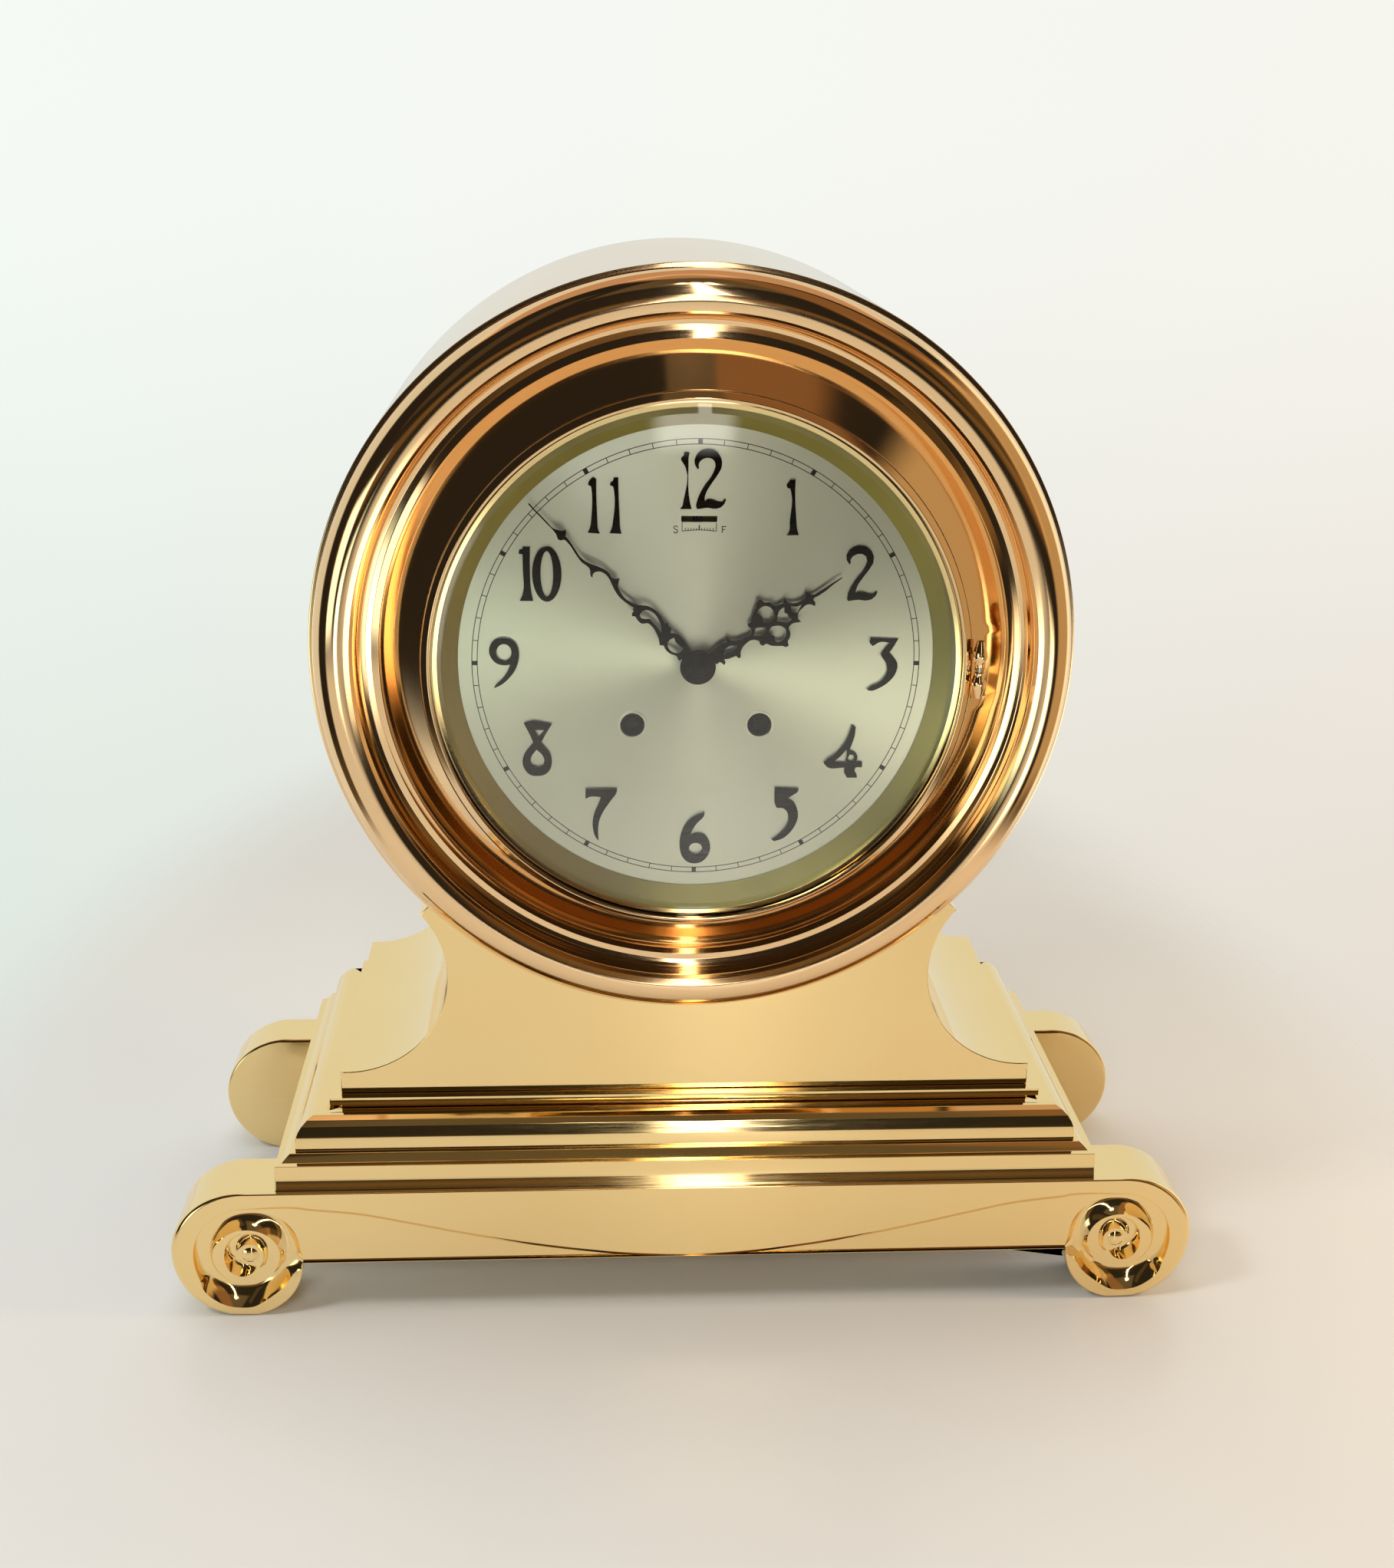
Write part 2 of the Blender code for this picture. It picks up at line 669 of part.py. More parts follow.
def plinth_profile():
    """(how far out, height) up the moulding that runs along the front and the two sides."""
    points = [(PLINTH_OUT, PLINTH_LOW), (PLINTH_OUT, PLINTH_BAND_TOP), (CHAMFER_OUT, PLINTH_BAND_TOP + GAP)]
    points += [(CHAMFER_TOP_OUT, FILLET_LOW), (FILLET_OUT, FILLET_LOW + WEATHERING), (FILLET_OUT, FILLET_HIGH)]
    for number in range(1, OVOLO_STEPS + 1):
        angle = number * math.pi / 2 / OVOLO_STEPS
        out = OVOLO_OUT + (FILLET_OUT - OVOLO_OUT) * math.cos(angle)
        points.append((out, FILLET_HIGH + (OVOLO_TOP - FILLET_HIGH) * math.sin(angle)))
    points += [(0.0, OVOLO_TOP + WEATHERING), (0.0, LEAF_LOW), (LEAF_OUT, LEAF_LOW + WEATHERING)]
    points += [(LEAF_OUT, LEAF_TOP)]
    return points


def level_loop(bm, half_width, front, back, height):
    corners = ((-half_width, front), (half_width, front), (half_width, back), (-half_width, back))
    return [bm.verts.new((x, y, height)) for x, y in corners]


def wall_between(bm, lower, upper):
    for number in range(len(lower)):
        following = (number + 1) % len(lower)
        bm.faces.new((lower[number], lower[following], upper[following], upper[number]))


def base_plinth():
    """A hollow casting open below: a loft of level loops up the moulding, and a plain box inside."""
    bm = bmesh.new()
    back = DIAL_Y + PLINTH_BACK
    saddle_front = DIAL_Y + SADDLE_FRONT
    outer = [level_loop(bm, SADDLE_HALF_WIDTH + out, saddle_front - out, back, z) for out, z in plinth_profile()]
    for lower, upper in zip(outer, outer[1:]):
        wall_between(bm, lower, upper)
    bm.faces.new(outer[-1])
    half = SADDLE_HALF_WIDTH + PLINTH_OUT - PLINTH_WALL
    top_half = SADDLE_HALF_WIDTH + FILLET_OUT - PLINTH_WALL
    inner_low = level_loop(bm, half, PLINTH_FRONT + PLINTH_WALL, back - PLINTH_WALL, PLINTH_LOW)
    top_front = saddle_front - FILLET_OUT + PLINTH_WALL
    inner_top = level_loop(bm, top_half, top_front, back - PLINTH_WALL, PLINTH_CEILING)
    wall_between(bm, inner_low, outer[0])
    wall_between(bm, inner_top, inner_low)
    bm.faces.new(list(reversed(inner_top)))
    bmesh.ops.recalc_face_normals(bm, faces=bm.faces)
    body = object_from(bm, "plinth")
    overlap = PLINTH_CEILING + BOSS_MERGE
    bosses = [upright(BOSS_RADIUS, PLINTH_LOW, overlap, x, y) for x, y in rail_bolt_places()]
    body = joined(body, *bosses)
    holes = bolt_holes(rail_bolt_places(), PLINTH_LOW - BOLT_RADIUS, PLINTH_LOW + RAIL_BOLT_REACH + GAP)
    holes += bolt_holes(saddle_bolt_places(), PLINTH_CEILING - BOLT_RADIUS, LEAF_TOP + BOLT_RADIUS)
    keep(cut(body, *holes), "base_plinth", "lacquered_brass")


def saddle_bolt_places():
    return [(side * SADDLE_BOLT_X, SADDLE_MIDDLE_Y) for side in (-1, 1)]


def horn_tip():
    angle = math.radians(HORN_ANGLE)
    reach = CRADLE_RADIUS + HORN_REACH
    return (reach * math.sin(angle), AXIS_HEIGHT - reach * math.cos(angle))


def flank_radius():
    """The radius of the arc that leaves the foot's level top and ends at the horn's tip."""
    horn_x, horn_z = horn_tip()
    across, rise = FLANK_CENTRE_X - horn_x, horn_z - SADDLE_LOW - SADDLE_FOOT_HEIGHT
    return (across ** 2 + rise ** 2) / (2 * rise)


def saddle_outline():
    """The saddle's front view, from the left foot up the concave flank, over the horn and round the cradle."""
    foot_top = SADDLE_LOW + SADDLE_FOOT_HEIGHT
    horn_x, horn_z = horn_tip()
    radius = flank_radius()
    centre_z = foot_top + radius
    end = math.atan2(horn_z - centre_z, FLANK_CENTRE_X - horn_x)
    steps = 9
    left = [(-SADDLE_HALF_WIDTH, SADDLE_LOW), (-SADDLE_HALF_WIDTH, foot_top)]
    for number in range(steps + 1):
        angle = -math.pi / 2 + (end + math.pi / 2) * number / steps
        x = -FLANK_CENTRE_X + radius * math.cos(angle)
        left.append((x, centre_z + radius * math.sin(angle)))
    arc = []
    count = round(2 * HORN_ANGLE * LARGE_STEPS / 360)
    for number in range(count + 1):
        angle = math.radians(-HORN_ANGLE + number * 360 / LARGE_STEPS)
        arc.append((CRADLE_RADIUS * math.sin(angle), AXIS_HEIGHT - CRADLE_RADIUS * math.cos(angle)))
    return left + arc + mirrored(left)


def saddle_hollow_outline():
    """The hollow under the saddle, a wall's thickness inside its outline."""
    foot_top = SADDLE_LOW + SADDLE_FOOT_HEIGHT
    ceiling = AXIS_HEIGHT - CRADLE_RADIUS - SADDLE_WALL
    waist = FLANK_CENTRE_X - flank_radius() - SADDLE_WALL
    mid = (foot_top + ceiling) / 2
    left = [(-SADDLE_HALF_WIDTH + SADDLE_WALL, SADDLE_LOW - SADDLE_WALL)]
    left += [(-SADDLE_HALF_WIDTH + SADDLE_WALL, foot_top - SADDLE_WALL), (-waist - SADDLE_WALL, mid), (-waist, ceiling)]
    return left + mirrored(left)


def saddle():
    front = DIAL_Y + SADDLE_FRONT
    back = front + SADDLE_DEPTH
    body = plate([saddle_outline()], front, back)
    hollow = plate([saddle_hollow_outline()], front + SADDLE_WALL, back - SADDLE_WALL)
    body = cut(body, hollow)
    ceiling = AXIS_HEIGHT - CRADLE_RADIUS - SADDLE_WALL
    bosses = [upright(BOSS_RADIUS, SADDLE_LOW, ceiling + BOLT_RADIUS, x, y) for x, y in saddle_bolt_places()]
    body = joined(body, *bosses)
    reach = SADDLE_LOW + SADDLE_BOLT_REACH + GAP
    holes = bolt_holes(saddle_bolt_places(), SADDLE_LOW - BOLT_RADIUS, reach)
    holes += bolt_holes(case_bolt_places(), ceiling - BOLT_RADIUS, AXIS_HEIGHT - DRUM_INSIDE)
    keep(cut(body, *holes), "saddle", "lacquered_brass")


def case_bolt_places():
    return [(0.0, DIAL_Y + depth) for depth in CASE_BOLT_DEPTHS]


def bolt(name, x, y, head_face, end, up=True):
    """A hexagon-headed bolt whose head bears on head_face and whose shank ends at end."""
    sign = 1 if up else -1
    head_low = head_face - sign * BOLT_HEAD_HEIGHT
    profile = [(0.0, head_low), (BOLT_HEAD_RADIUS, head_low), (BOLT_HEAD_RADIUS, head_face)]
    profile += [(BOLT_RADIUS, head_face), (BOLT_RADIUS, end), (0.0, end)]
    obj = turned(profile, 6, closed=False, along_y=False, place=(x, y, 0.0))
    keep(obj, name, "polished_steel")


def bolts():
    for number, (x, y) in enumerate(rail_bolt_places(), 1):
        bolt(f"rail_bolt_{number}", x, y, RAIL_UNDERSIDE - GAP, PLINTH_LOW + RAIL_BOLT_REACH)
    for number, (x, y) in enumerate(saddle_bolt_places(), 1):
        bolt(f"saddle_bolt_{number}", x, y, PLINTH_CEILING - GAP, SADDLE_LOW + SADDLE_BOLT_REACH)
    ceiling = AXIS_HEIGHT - CRADLE_RADIUS - SADDLE_WALL
    for number, (x, y) in enumerate(case_bolt_places(), 1):
        bolt(f"case_bolt_{number}", x, y, ceiling - GAP, AXIS_HEIGHT - DRUM_INSIDE + CASE_BOLT_PROUD)


# Case


def cover_screw_places():
    ring = (SHELF_INNER_RADIUS + DRUM_INSIDE) / 2
    return circle(ring, 4, turn=math.pi / 4)


def drum_case():
    """The drum: a tube with a shelf near its back, on which the cover is screwed down."""
    shelf_back = DRUM_BACK - COVER_RECESS
    shelf_front = shelf_back - SHELF_THICKNESS
    section = [(DRUM_RADIUS, DRUM_FRONT), (DRUM_RADIUS, DRUM_BACK), (DRUM_INSIDE, DRUM_BACK)]
    section += [(DRUM_INSIDE, shelf_back), (SHELF_INNER_RADIUS, shelf_back), (SHELF_INNER_RADIUS, shelf_front)]
    section += [(DRUM_INSIDE, shelf_front), (DRUM_INSIDE, DRUM_FRONT)]
    tube = turned(section, LARGE_STEPS, place=drum_point(0.0, 0.0, 0.0))
    holes = [
        rod(COVER_SCREW_RADIUS + GAP, shelf_front - DRUM_WALL, shelf_back + DRUM_WALL, x, z, HOLE_POINTS)
        for x, z in cover_screw_places()
    ]
    bottom = AXIS_HEIGHT - DRUM_RADIUS
    holes += bolt_holes(case_bolt_places(), bottom - DRUM_WALL, bottom + 2 * DRUM_WALL)
    keep(cut(tube, *holes), "drum_case", "rosy_bronze")


def back_cover():
    shelf_back = DRUM_BACK - COVER_RECESS
    outlines = [circle(DRUM_INSIDE - BEZEL_CLEARANCE, LARGE_STEPS)]
    outlines += [circle(COVER_SCREW_RADIUS + GAP, HOLE_POINTS, x, z) for x, z in cover_screw_places()]
    cover = drum_plate(outlines, shelf_back + GAP, shelf_back + GAP + COVER_THICKNESS)
    keep(cover, "back_cover", "rosy_bronze")
    head = shelf_back + GAP + COVER_THICKNESS + GAP
    for number, (x, z) in enumerate(cover_screw_places(), 1):
        shank = (COVER_SCREW_RADIUS, shelf_back - SHELF_THICKNESS, head)
        screw = arbor([shank, (COVER_SCREW_HEAD_RADIUS, head, head + COVER_SCREW_HEAD_HEIGHT)], x, z, HOLE_POINTS)
        keep(screw, f"cover_screw_{number}", "lacquered_brass")


def front_ring_section():
    cone_start = BEZEL_RADIUS + BEZEL_CLEARANCE
    seat = BEZEL_BACK + GAP
    cone_front = BEZEL_EDGE_FRONT + GAP
    back_slope = (VALLEY_DEPTH - cone_front) / (VALLEY_RADIUS - cone_start)
    hub_outer = VALLEY_RADIUS - (VALLEY_DEPTH + 1.4 * RING_WALL - HUB_BACK) / back_slope
    section = [(RING_BORE, seat), (cone_start, seat), (cone_start, cone_front), (VALLEY_RADIUS, VALLEY_DEPTH)]
    section += [(COVE_RADIUS, COVE_DEPTH)]
    section += [(COVE_TOP_RADIUS, COVE_TOP_DEPTH)]
    for number in range(TORUS_STEPS + 1):
        angle = math.radians(TORUS_START_ANGLE * (1 - number / TORUS_STEPS))
        radius = TORUS_CENTRE_RADIUS + TORUS_RADIUS * math.cos(angle)
        section.append((radius, TORUS_CENTRE_DEPTH - TORUS_RADIUS * math.sin(angle)))
    spigot = DRUM_INSIDE - BEZEL_CLEARANCE
    section += [(TORUS_CENTRE_RADIUS + TORUS_RADIUS, DRUM_FRONT - GAP), (spigot, DRUM_FRONT - GAP)]
    section += [(spigot, DRUM_FRONT + SPIGOT_LENGTH), (spigot - SPIGOT_WALL, DRUM_FRONT + SPIGOT_LENGTH)]
    section += [(spigot - SPIGOT_WALL, COVE_DEPTH + RING_WALL), (hub_outer + 2 * RING_WALL, COVE_DEPTH + RING_WALL)]
    section += [(hub_outer, HUB_BACK), (SHELF_RADIUS, HUB_BACK)]
    section += [(SHELF_RADIUS, DIAL_THICKNESS + GAP), (RING_BORE, DIAL_THICKNESS + GAP)]
    return section


def front_ring():
    ring = turned(front_ring_section(), LARGE_STEPS, place=drum_point(0.0, 0.0, 0.0))
    reach = KNUCKLE_START + KNUCKLE_LENGTH + GAP
    place = drum_point(HINGE_X, HINGE_DEPTH, 0.0)
    low, high = place.z - reach, place.z + reach
    pocket = upright(KNUCKLE_RADIUS + GAP, low, high, place.x, place.y, SMALL_STEPS)
    keep(cut(ring, pocket), "front_ring", "rosy_bronze")


def glass_bezel():
    """The bezel's rim, and the lip that the glass bears on from behind."""
    channel = BEZEL_RADIUS - BEZEL_WALL
    glass_land = GLASS_BACK - GLASS_EDGE
    section = [(channel, BEZEL_BACK), (channel, glass_land - GAP), (BEZEL_LIP_RADIUS, glass_land - GAP)]
    section += [(BEZEL_LIP_RADIUS, BEZEL_LIP_FRONT), (BEZEL_LIP_RADIUS + BEZEL_WALL / 2, BEZEL_LIP_FRONT - GAP / 2)]
    section += [(BEZEL_RADIUS, BEZEL_EDGE_FRONT), (BEZEL_RADIUS, BEZEL_BACK)]
    bezel = turned(section, LARGE_STEPS, place=drum_point(0.0, 0.0, 0.0))
    return keep(bezel, "glass_bezel", "rosy_bronze")


def bevelled_glass():
    radius = BEZEL_RADIUS - BEZEL_WALL - GAP
    land = GLASS_BACK - GLASS_EDGE
    section = [(0.0, GLASS_FRONT), (GLASS_BEVEL_INNER, GLASS_FRONT), (GLASS_BEVEL_OUTER, land), (radius, land)]
    section += [(radius, GLASS_BACK), (0.0, GLASS_BACK)]
    glass = turned(section, LARGE_STEPS, closed=False, place=drum_point(0.0, 0.0, 0.0))
    return keep(glass, "bevelled_glass", "plate_glass")


def glass_retainer():
    outer = BEZEL_RADIUS - BEZEL_WALL - GAP
    inner = outer - RETAINER_WIDTH
    front = GLASS_BACK + GAP
    back = front + RETAINER_THICKNESS
    section = [(inner, front), (outer, front), (outer, back), (inner, back)]
    ring = turned(section, LARGE_STEPS, place=drum_point(0.0, 0.0, 0.0))
    return keep(ring, "glass_retainer", "lacquered_brass")


def knuckle(side):
    """One olive of the hinge, above the middle for +1 and below it for -1."""
    bore = HINGE_PIN_RADIUS + GAP
    sizes = ((0.0, KNUCKLE_NECK_RADIUS), (0.15, KNUCKLE_NECK_RADIUS), (0.33, KNUCKLE_RADIUS), (0.6, 0.8 * KNUCKLE_RADIUS))
    sizes += ((1.0, bore + GAP),)
    section = [(bore, side * (KNUCKLE_START + KNUCKLE_LENGTH)), (bore, side * KNUCKLE_START)]
    section += [(radius, side * (KNUCKLE_START + share * KNUCKLE_LENGTH)) for share, radius in sizes]
    place = drum_point(HINGE_X, HINGE_DEPTH, 0.0)
    return turned(section, SMALL_STEPS, along_y=False, place=place)


def hinge_lug():
    """The tongue that ties the upper olive to the bezel's rim."""
    left = BEZEL_RADIUS + GAP
    right = HINGE_X - HINGE_PIN_RADIUS - 2 * GAP
    low = KNUCKLE_START + 0.2 * KNUCKLE_LENGTH
    high = KNUCKLE_START + 0.6 * KNUCKLE_LENGTH
    outline = [(left, low), (right, low), (right, high), (left, high)]
    return drum_plate([outline], HINGE_DEPTH - 1.2 * MM, BEZEL_EDGE_FRONT - GAP)


def bezel_hinge():
    keep(as_mesh(knuckle(-1)), "bezel_hinge_leaf", "rosy_bronze")
    upper = joined(knuckle(1), hinge_lug())
    keep(upper, "bezel_hinge_knuckle", "rosy_bronze")
    reach = KNUCKLE_START + 0.9 * KNUCKLE_LENGTH
    place = drum_point(HINGE_X, HINGE_DEPTH, 0.0)
    pin = upright(HINGE_PIN_RADIUS, place.z - reach, place.z + reach, place.x, place.y, HOLE_POINTS)
    keep(pin, "bezel_hinge_pin", "polished_steel")
    return upper


def reflector_ring():
    outer = RING_BORE - BEZEL_CLEARANCE
    section = [(DIAL_VISIBLE_RADIUS, -GAP), (REFLECTOR_TOP_RADIUS, REFLECTOR_TOP), (outer, REFLECTOR_TOP)]
    section += [(outer, -GAP)]
    ring = turned(section, LARGE_STEPS, place=drum_point(0.0, 0.0, 0.0))
    keep(ring, "reflector_ring", "olive_gilt")


def dial():
    slot = [(-SLOT_HALF_WIDTH, SLOT_LOW), (SLOT_HALF_WIDTH, SLOT_LOW), (SLOT_HALF_WIDTH, SLOT_HIGH)]
    slot += [(-SLOT_HALF_WIDTH, SLOT_HIGH)]
    outlines = [circle(RING_BORE - BEZEL_CLEARANCE, LARGE_STEPS), circle(DIAL_CENTRE_HOLE, SMALL_STEPS), slot]
    outlines += [circle(WINDING_HOLE_RADIUS, SMALL_STEPS, x, z) for x, z in (TIME_ARBOR, STRIKE_ARBOR)]
    keep(drum_plate(outlines, 0.0, DIAL_THICKNESS), "dial", "silvered_brass")


# Movement


def plate_holes(places):
    return [circle(radius, HOLE_POINTS, x, z, turn=math.pi / HOLE_POINTS) for radius, (x, z) in places]


def hole(radius, place):
    return (radius / math.cos(math.pi / HOLE_POINTS) + GAP, place)


PILLAR_PLACES = circle(PILLAR_CIRCLE, 4)


def movement_plates():
    seat_front = HUB_BACK + GAP
    rings = [circle(SEAT_RADIUS, LARGE_STEPS // 2), circle(SEAT_BORE, LARGE_STEPS // 2)]
    keep(drum_plate(rings, seat_front, seat_front + SEAT_THICKNESS), "movement_seat", "movement_brass")
    small = [SECOND_PLACE, THIRD_PLACE, ESCAPE_PLACE, PIN_WHEEL_PLACE]
    front = [hole(CENTRE_ARBOR_RADIUS - GAP, CENTRE), hole(ARBOR_RADIUS, HAMMER_PLACE), hole(ARBOR_RADIUS, REGULATOR_PLACE)]
    front += [hole(WINDING_ARBOR_RADIUS, place) for place in (TIME_ARBOR, STRIKE_ARBOR)]
    front += [hole(SPIGOT_RADIUS, place) for place in PILLAR_PLACES]
    others = small + [MINUTE_WHEEL_PLACE, TIME_CLICK_PLACE, STRIKE_CLICK_PLACE]
    front += [hole(PIVOT_RADIUS, place) for place in others]
    rim = circle(PLATE_RADIUS, MEDIUM_STEPS)
    face = drum_plate([rim] + plate_holes(front), FRONT_PLATE_FRONT, FRONT_PLATE_BACK)
    keep(face, "front_plate", "movement_brass")
    rear = [hole(PIVOT_RADIUS, place) for place in small + [CENTRE, PALLET_PLACE, BALANCE_PLACE]]
    rear += [hole(ARBOR_RADIUS, HAMMER_PLACE), hole(SPIGOT_RADIUS, (BELL_X, BELL_Z))]
    rear += [hole(SPIGOT_RADIUS, place) for place in (TIME_ARBOR, STRIKE_ARBOR)]
    rear_plate = drum_plate([rim] + plate_holes(rear), BACK_PLATE_FRONT, BACK_PLATE_BACK)
    pillars = []
    for x, z in PILLAR_PLACES:
        body = (PILLAR_RADIUS, FRONT_PLATE_BACK + GAP, BACK_PLATE_FRONT + PLATE_THICKNESS / 2)
        pillars.append(arbor([(SPIGOT_RADIUS, FRONT_PLATE_FRONT, FRONT_PLATE_BACK + GAP), body], x, z, HOLE_POINTS))
    keep(joined(rear_plate, *pillars), "back_plate", "movement_brass")


SECOND_WHEEL_FRONT = FRONT_PLATE_BACK + 1.8 * MM
GREAT_FRONT = BARREL_FRONT - 2.4 * MM
CENTRE_WHEEL_FRONT = BACK_PLATE_FRONT - 5.0 * MM
THIRD_WHEEL_FRONT = 40.0 * MM
MINUTE_WHEEL_FRONT = 8.8 * MM
HOUR_WHEEL_FRONT = 5.2 * MM
CANNON_BACK = FRONT_PLATE_FRONT - GAP


def barrel_set(name, place, place_of_pinion, great_behind):
    """A spring barrel with its great wheel, mainspring, lid, winding arbor and ratchet."""
    bore = WINDING_ARBOR_RADIUS + GAP
    if great_behind:
        closed_face, open_face, inward = BARREL_BACK, BARREL_FRONT + BARREL_WALL, -1
    else:
        closed_face, open_face, inward = BARREL_FRONT, BARREL_BACK - BARREL_WALL, 1
    floor = closed_face + inward * BARREL_WALL
    rim = BARREL_RADIUS - BARREL_WALL
    section = [(bore, closed_face), (BARREL_RADIUS, closed_face), (BARREL_RADIUS, open_face), (rim, open_face)]
    section += [(rim, floor), (bore, floor)]
    drum = turned(section, MEDIUM_STEPS, place=drum_point(place[0], 0.0, place[1]))
    teeth = tooth_outline(GREAT_TEETH, GREAT_MODULE, toward(place, place_of_pinion), False, *place)
    outlines = [teeth, circle(bore, MEDIUM_STEPS, *place)]
    face = closed_face - inward * 2.4 * MM
    low, high = sorted((face, closed_face + inward * BARREL_WALL / 2))
    barrel = joined(drum, drum_plate(outlines, low, high))
    keep(barrel, f"{name}_barrel", "movement_brass")
    lid_outline = [circle(rim - GAP, MEDIUM_STEPS, *place), circle(bore, SMALL_STEPS, *place)]
    low, high = sorted((open_face, open_face - inward * BARREL_WALL))
    lid = drum_plate(lid_outline, low, high)
    keep(lid, f"{name}_barrel_lid", "movement_brass")
    low, high = sorted((floor + inward * GAP, open_face - inward * (BARREL_WALL + GAP)))
    spring = mainspring(place, low, high, rim - GAP, bore + 3.0 * MM)
    keep(spring, f"{name}_mainspring", "blued_spring_steel")
    return barrel, lid, spring


def mainspring(place, front, back, outer, inner):
    """A wound flat spring: a strip that spirals from the barrel's wall in to its arbor."""
    strip = 1.6 * MM
    count = SPRING_TURNS * SPRING_STEPS
    outer_side, inner_side = [], []
    for number in range(count + 1):
        share = number / count
        angle = share * SPRING_TURNS * math.tau
        radius = outer - strip / 2 - share * (outer - inner - strip)
        for side, thickness in ((outer_side, strip / 2), (inner_side, -strip / 2)):
            reach = radius + thickness
            side.append((place[0] + reach * math.cos(angle), place[1] + reach * math.sin(angle)))
    return drum_plate([outer_side + inner_side[::-1]], front, back)


def winding_arbor(name, place):
    front = FRONT_PLATE_FRONT
    ratchet_back = front - 0.6 * MM
    ratchet_front = ratchet_back - 1.8 * MM
    sizes = [(WINDING_ARBOR_RADIUS, ratchet_front, BACK_PLATE_FRONT - GAP)]
    sizes += [(SPIGOT_RADIUS, BACK_PLATE_FRONT - GAP, BACK_PLATE_BACK)]
    body = arbor(sizes, *place)
    half = WINDING_SQUARE / 2
    turn = math.radians(57)
    square = circle(half * math.sqrt(2), 4, *place, turn=turn)
    winding = drum_plate([square], WINDING_SQUARE_FRONT, ratchet_front + PIVOT_RADIUS)
    ratchet = drum_plate([saw_outline(RATCHET_TEETH, RATCHET_RADIUS, 1.6 * MM, *place)], ratchet_front, ratchet_back)
    solid = joined(body, winding, ratchet)
    return keep(solid, f"{name}_winding_arbor", "polished_steel")


def click(name, place, arbor_place):
    """The click that holds a ratchet: a lever on a pin, with its tip at the teeth."""
    direction = toward(place, arbor_place)
    length = math.dist(place, arbor_place) - RATCHET_RADIUS - 2 * GAP
    back = FRONT_PLATE_FRONT - 0.6 * MM
    front = back - 1.8 * MM
    tip = along(place, direction, length)
    heel = along(place, direction + 180, 2.5 * MM)
    side_a, side_b = along(place, direction + 90, 2.2 * MM), along(place, direction - 90, 2.2 * MM)
    lever = drum_plate([[heel, side_b, tip, side_a]], front, back)
    pin = arbor([(PIVOT_RADIUS, front + GAP, FRONT_PLATE_BACK)], *place, HOLE_POINTS)
    return keep(joined(lever, pin), f"{name}_click", "polished_steel")


def train_wheel(name, place, wheel, pinion, ends, finish="movement_brass", extra=()):
    """A wheel and its pinion on one arbor. wheel and pinion are outlines with their two faces, or None."""
    front, back = ends
    sizes = [(PIVOT_RADIUS, front - PLATE_THICKNESS + GAP, front), (ARBOR_RADIUS, front, back)]
    sizes += [(PIVOT_RADIUS, back, back + PLATE_THICKNESS - GAP)]
    body = arbor(sizes, *place, HOLE_POINTS)
    blanks = [drum_plate([outline], low, high) for outline, low, high in (wheel, pinion) if outline]
    return keep(joined(body, *blanks, *extra), name, finish)


def going_train():
    ends = (FRONT_PLATE_BACK + GAP, BACK_PLATE_FRONT - GAP)
    to_time = toward(SECOND_PLACE, TIME_ARBOR)
    to_centre = toward(SECOND_PLACE, CENTRE)
    front = SECOND_WHEEL_FRONT
    wheel = (tooth_outline(SECOND_TEETH, SECOND_MODULE, to_centre, False, *SECOND_PLACE), front, front + WHEEL_THICKNESS)
    pinion = (tooth_outline(LEAVES, GREAT_MODULE, to_time, True, *SECOND_PLACE), GREAT_FRONT - 1.0 * MM, BARREL_FRONT)
    second = train_wheel("second_wheel", SECOND_PLACE, wheel, pinion, ends)

    teeth = tooth_outline(CENTRE_TEETH, CENTRE_MODULE, THIRD_DIRECTION)
    leaves = tooth_outline(LEAVES, SECOND_MODULE, toward(CENTRE, SECOND_PLACE), True)
    sizes = [(CANNON_BORE - GAP, MINUTE_HAND_FRONT - HAND_STEM, CANNON_BACK)]
    sizes += [(CENTRE_ARBOR_RADIUS - GAP, CANNON_BACK, FRONT_PLATE_BACK + GAP)]
    sizes += [(CENTRE_ARBOR_RADIUS, FRONT_PLATE_BACK + GAP, ends[1]), (PIVOT_RADIUS, ends[1], BACK_PLATE_BACK - GAP)]
    centre = joined(
        arbor(sizes, steps=HOLE_POINTS + 2),
        drum_plate([teeth], CENTRE_WHEEL_FRONT, CENTRE_WHEEL_FRONT + WHEEL_THICKNESS),
        drum_plate([leaves], front - 0.5 * MM, front + WHEEL_THICKNESS + 0.5 * MM),
    )
    keep(centre, "centre_arbor", "polished_steel")

    third_teeth = tooth_outline(THIRD_TEETH, THIRD_MODULE, toward(THIRD_PLACE, ESCAPE_PLACE), False, *THIRD_PLACE)
    third_leaves = tooth_outline(LEAVES, CENTRE_MODULE, THIRD_DIRECTION + 180, True, *THIRD_PLACE)
    wheel = (third_teeth, THIRD_WHEEL_FRONT, THIRD_WHEEL_FRONT + WHEEL_THICKNESS)
    pinion = (third_leaves, CENTRE_WHEEL_FRONT - 1.0 * MM, CENTRE_WHEEL_FRONT + WHEEL_THICKNESS + 1.0 * MM)
    third = train_wheel("third_wheel", THIRD_PLACE, wheel, pinion, ends)
    return second, centre, third


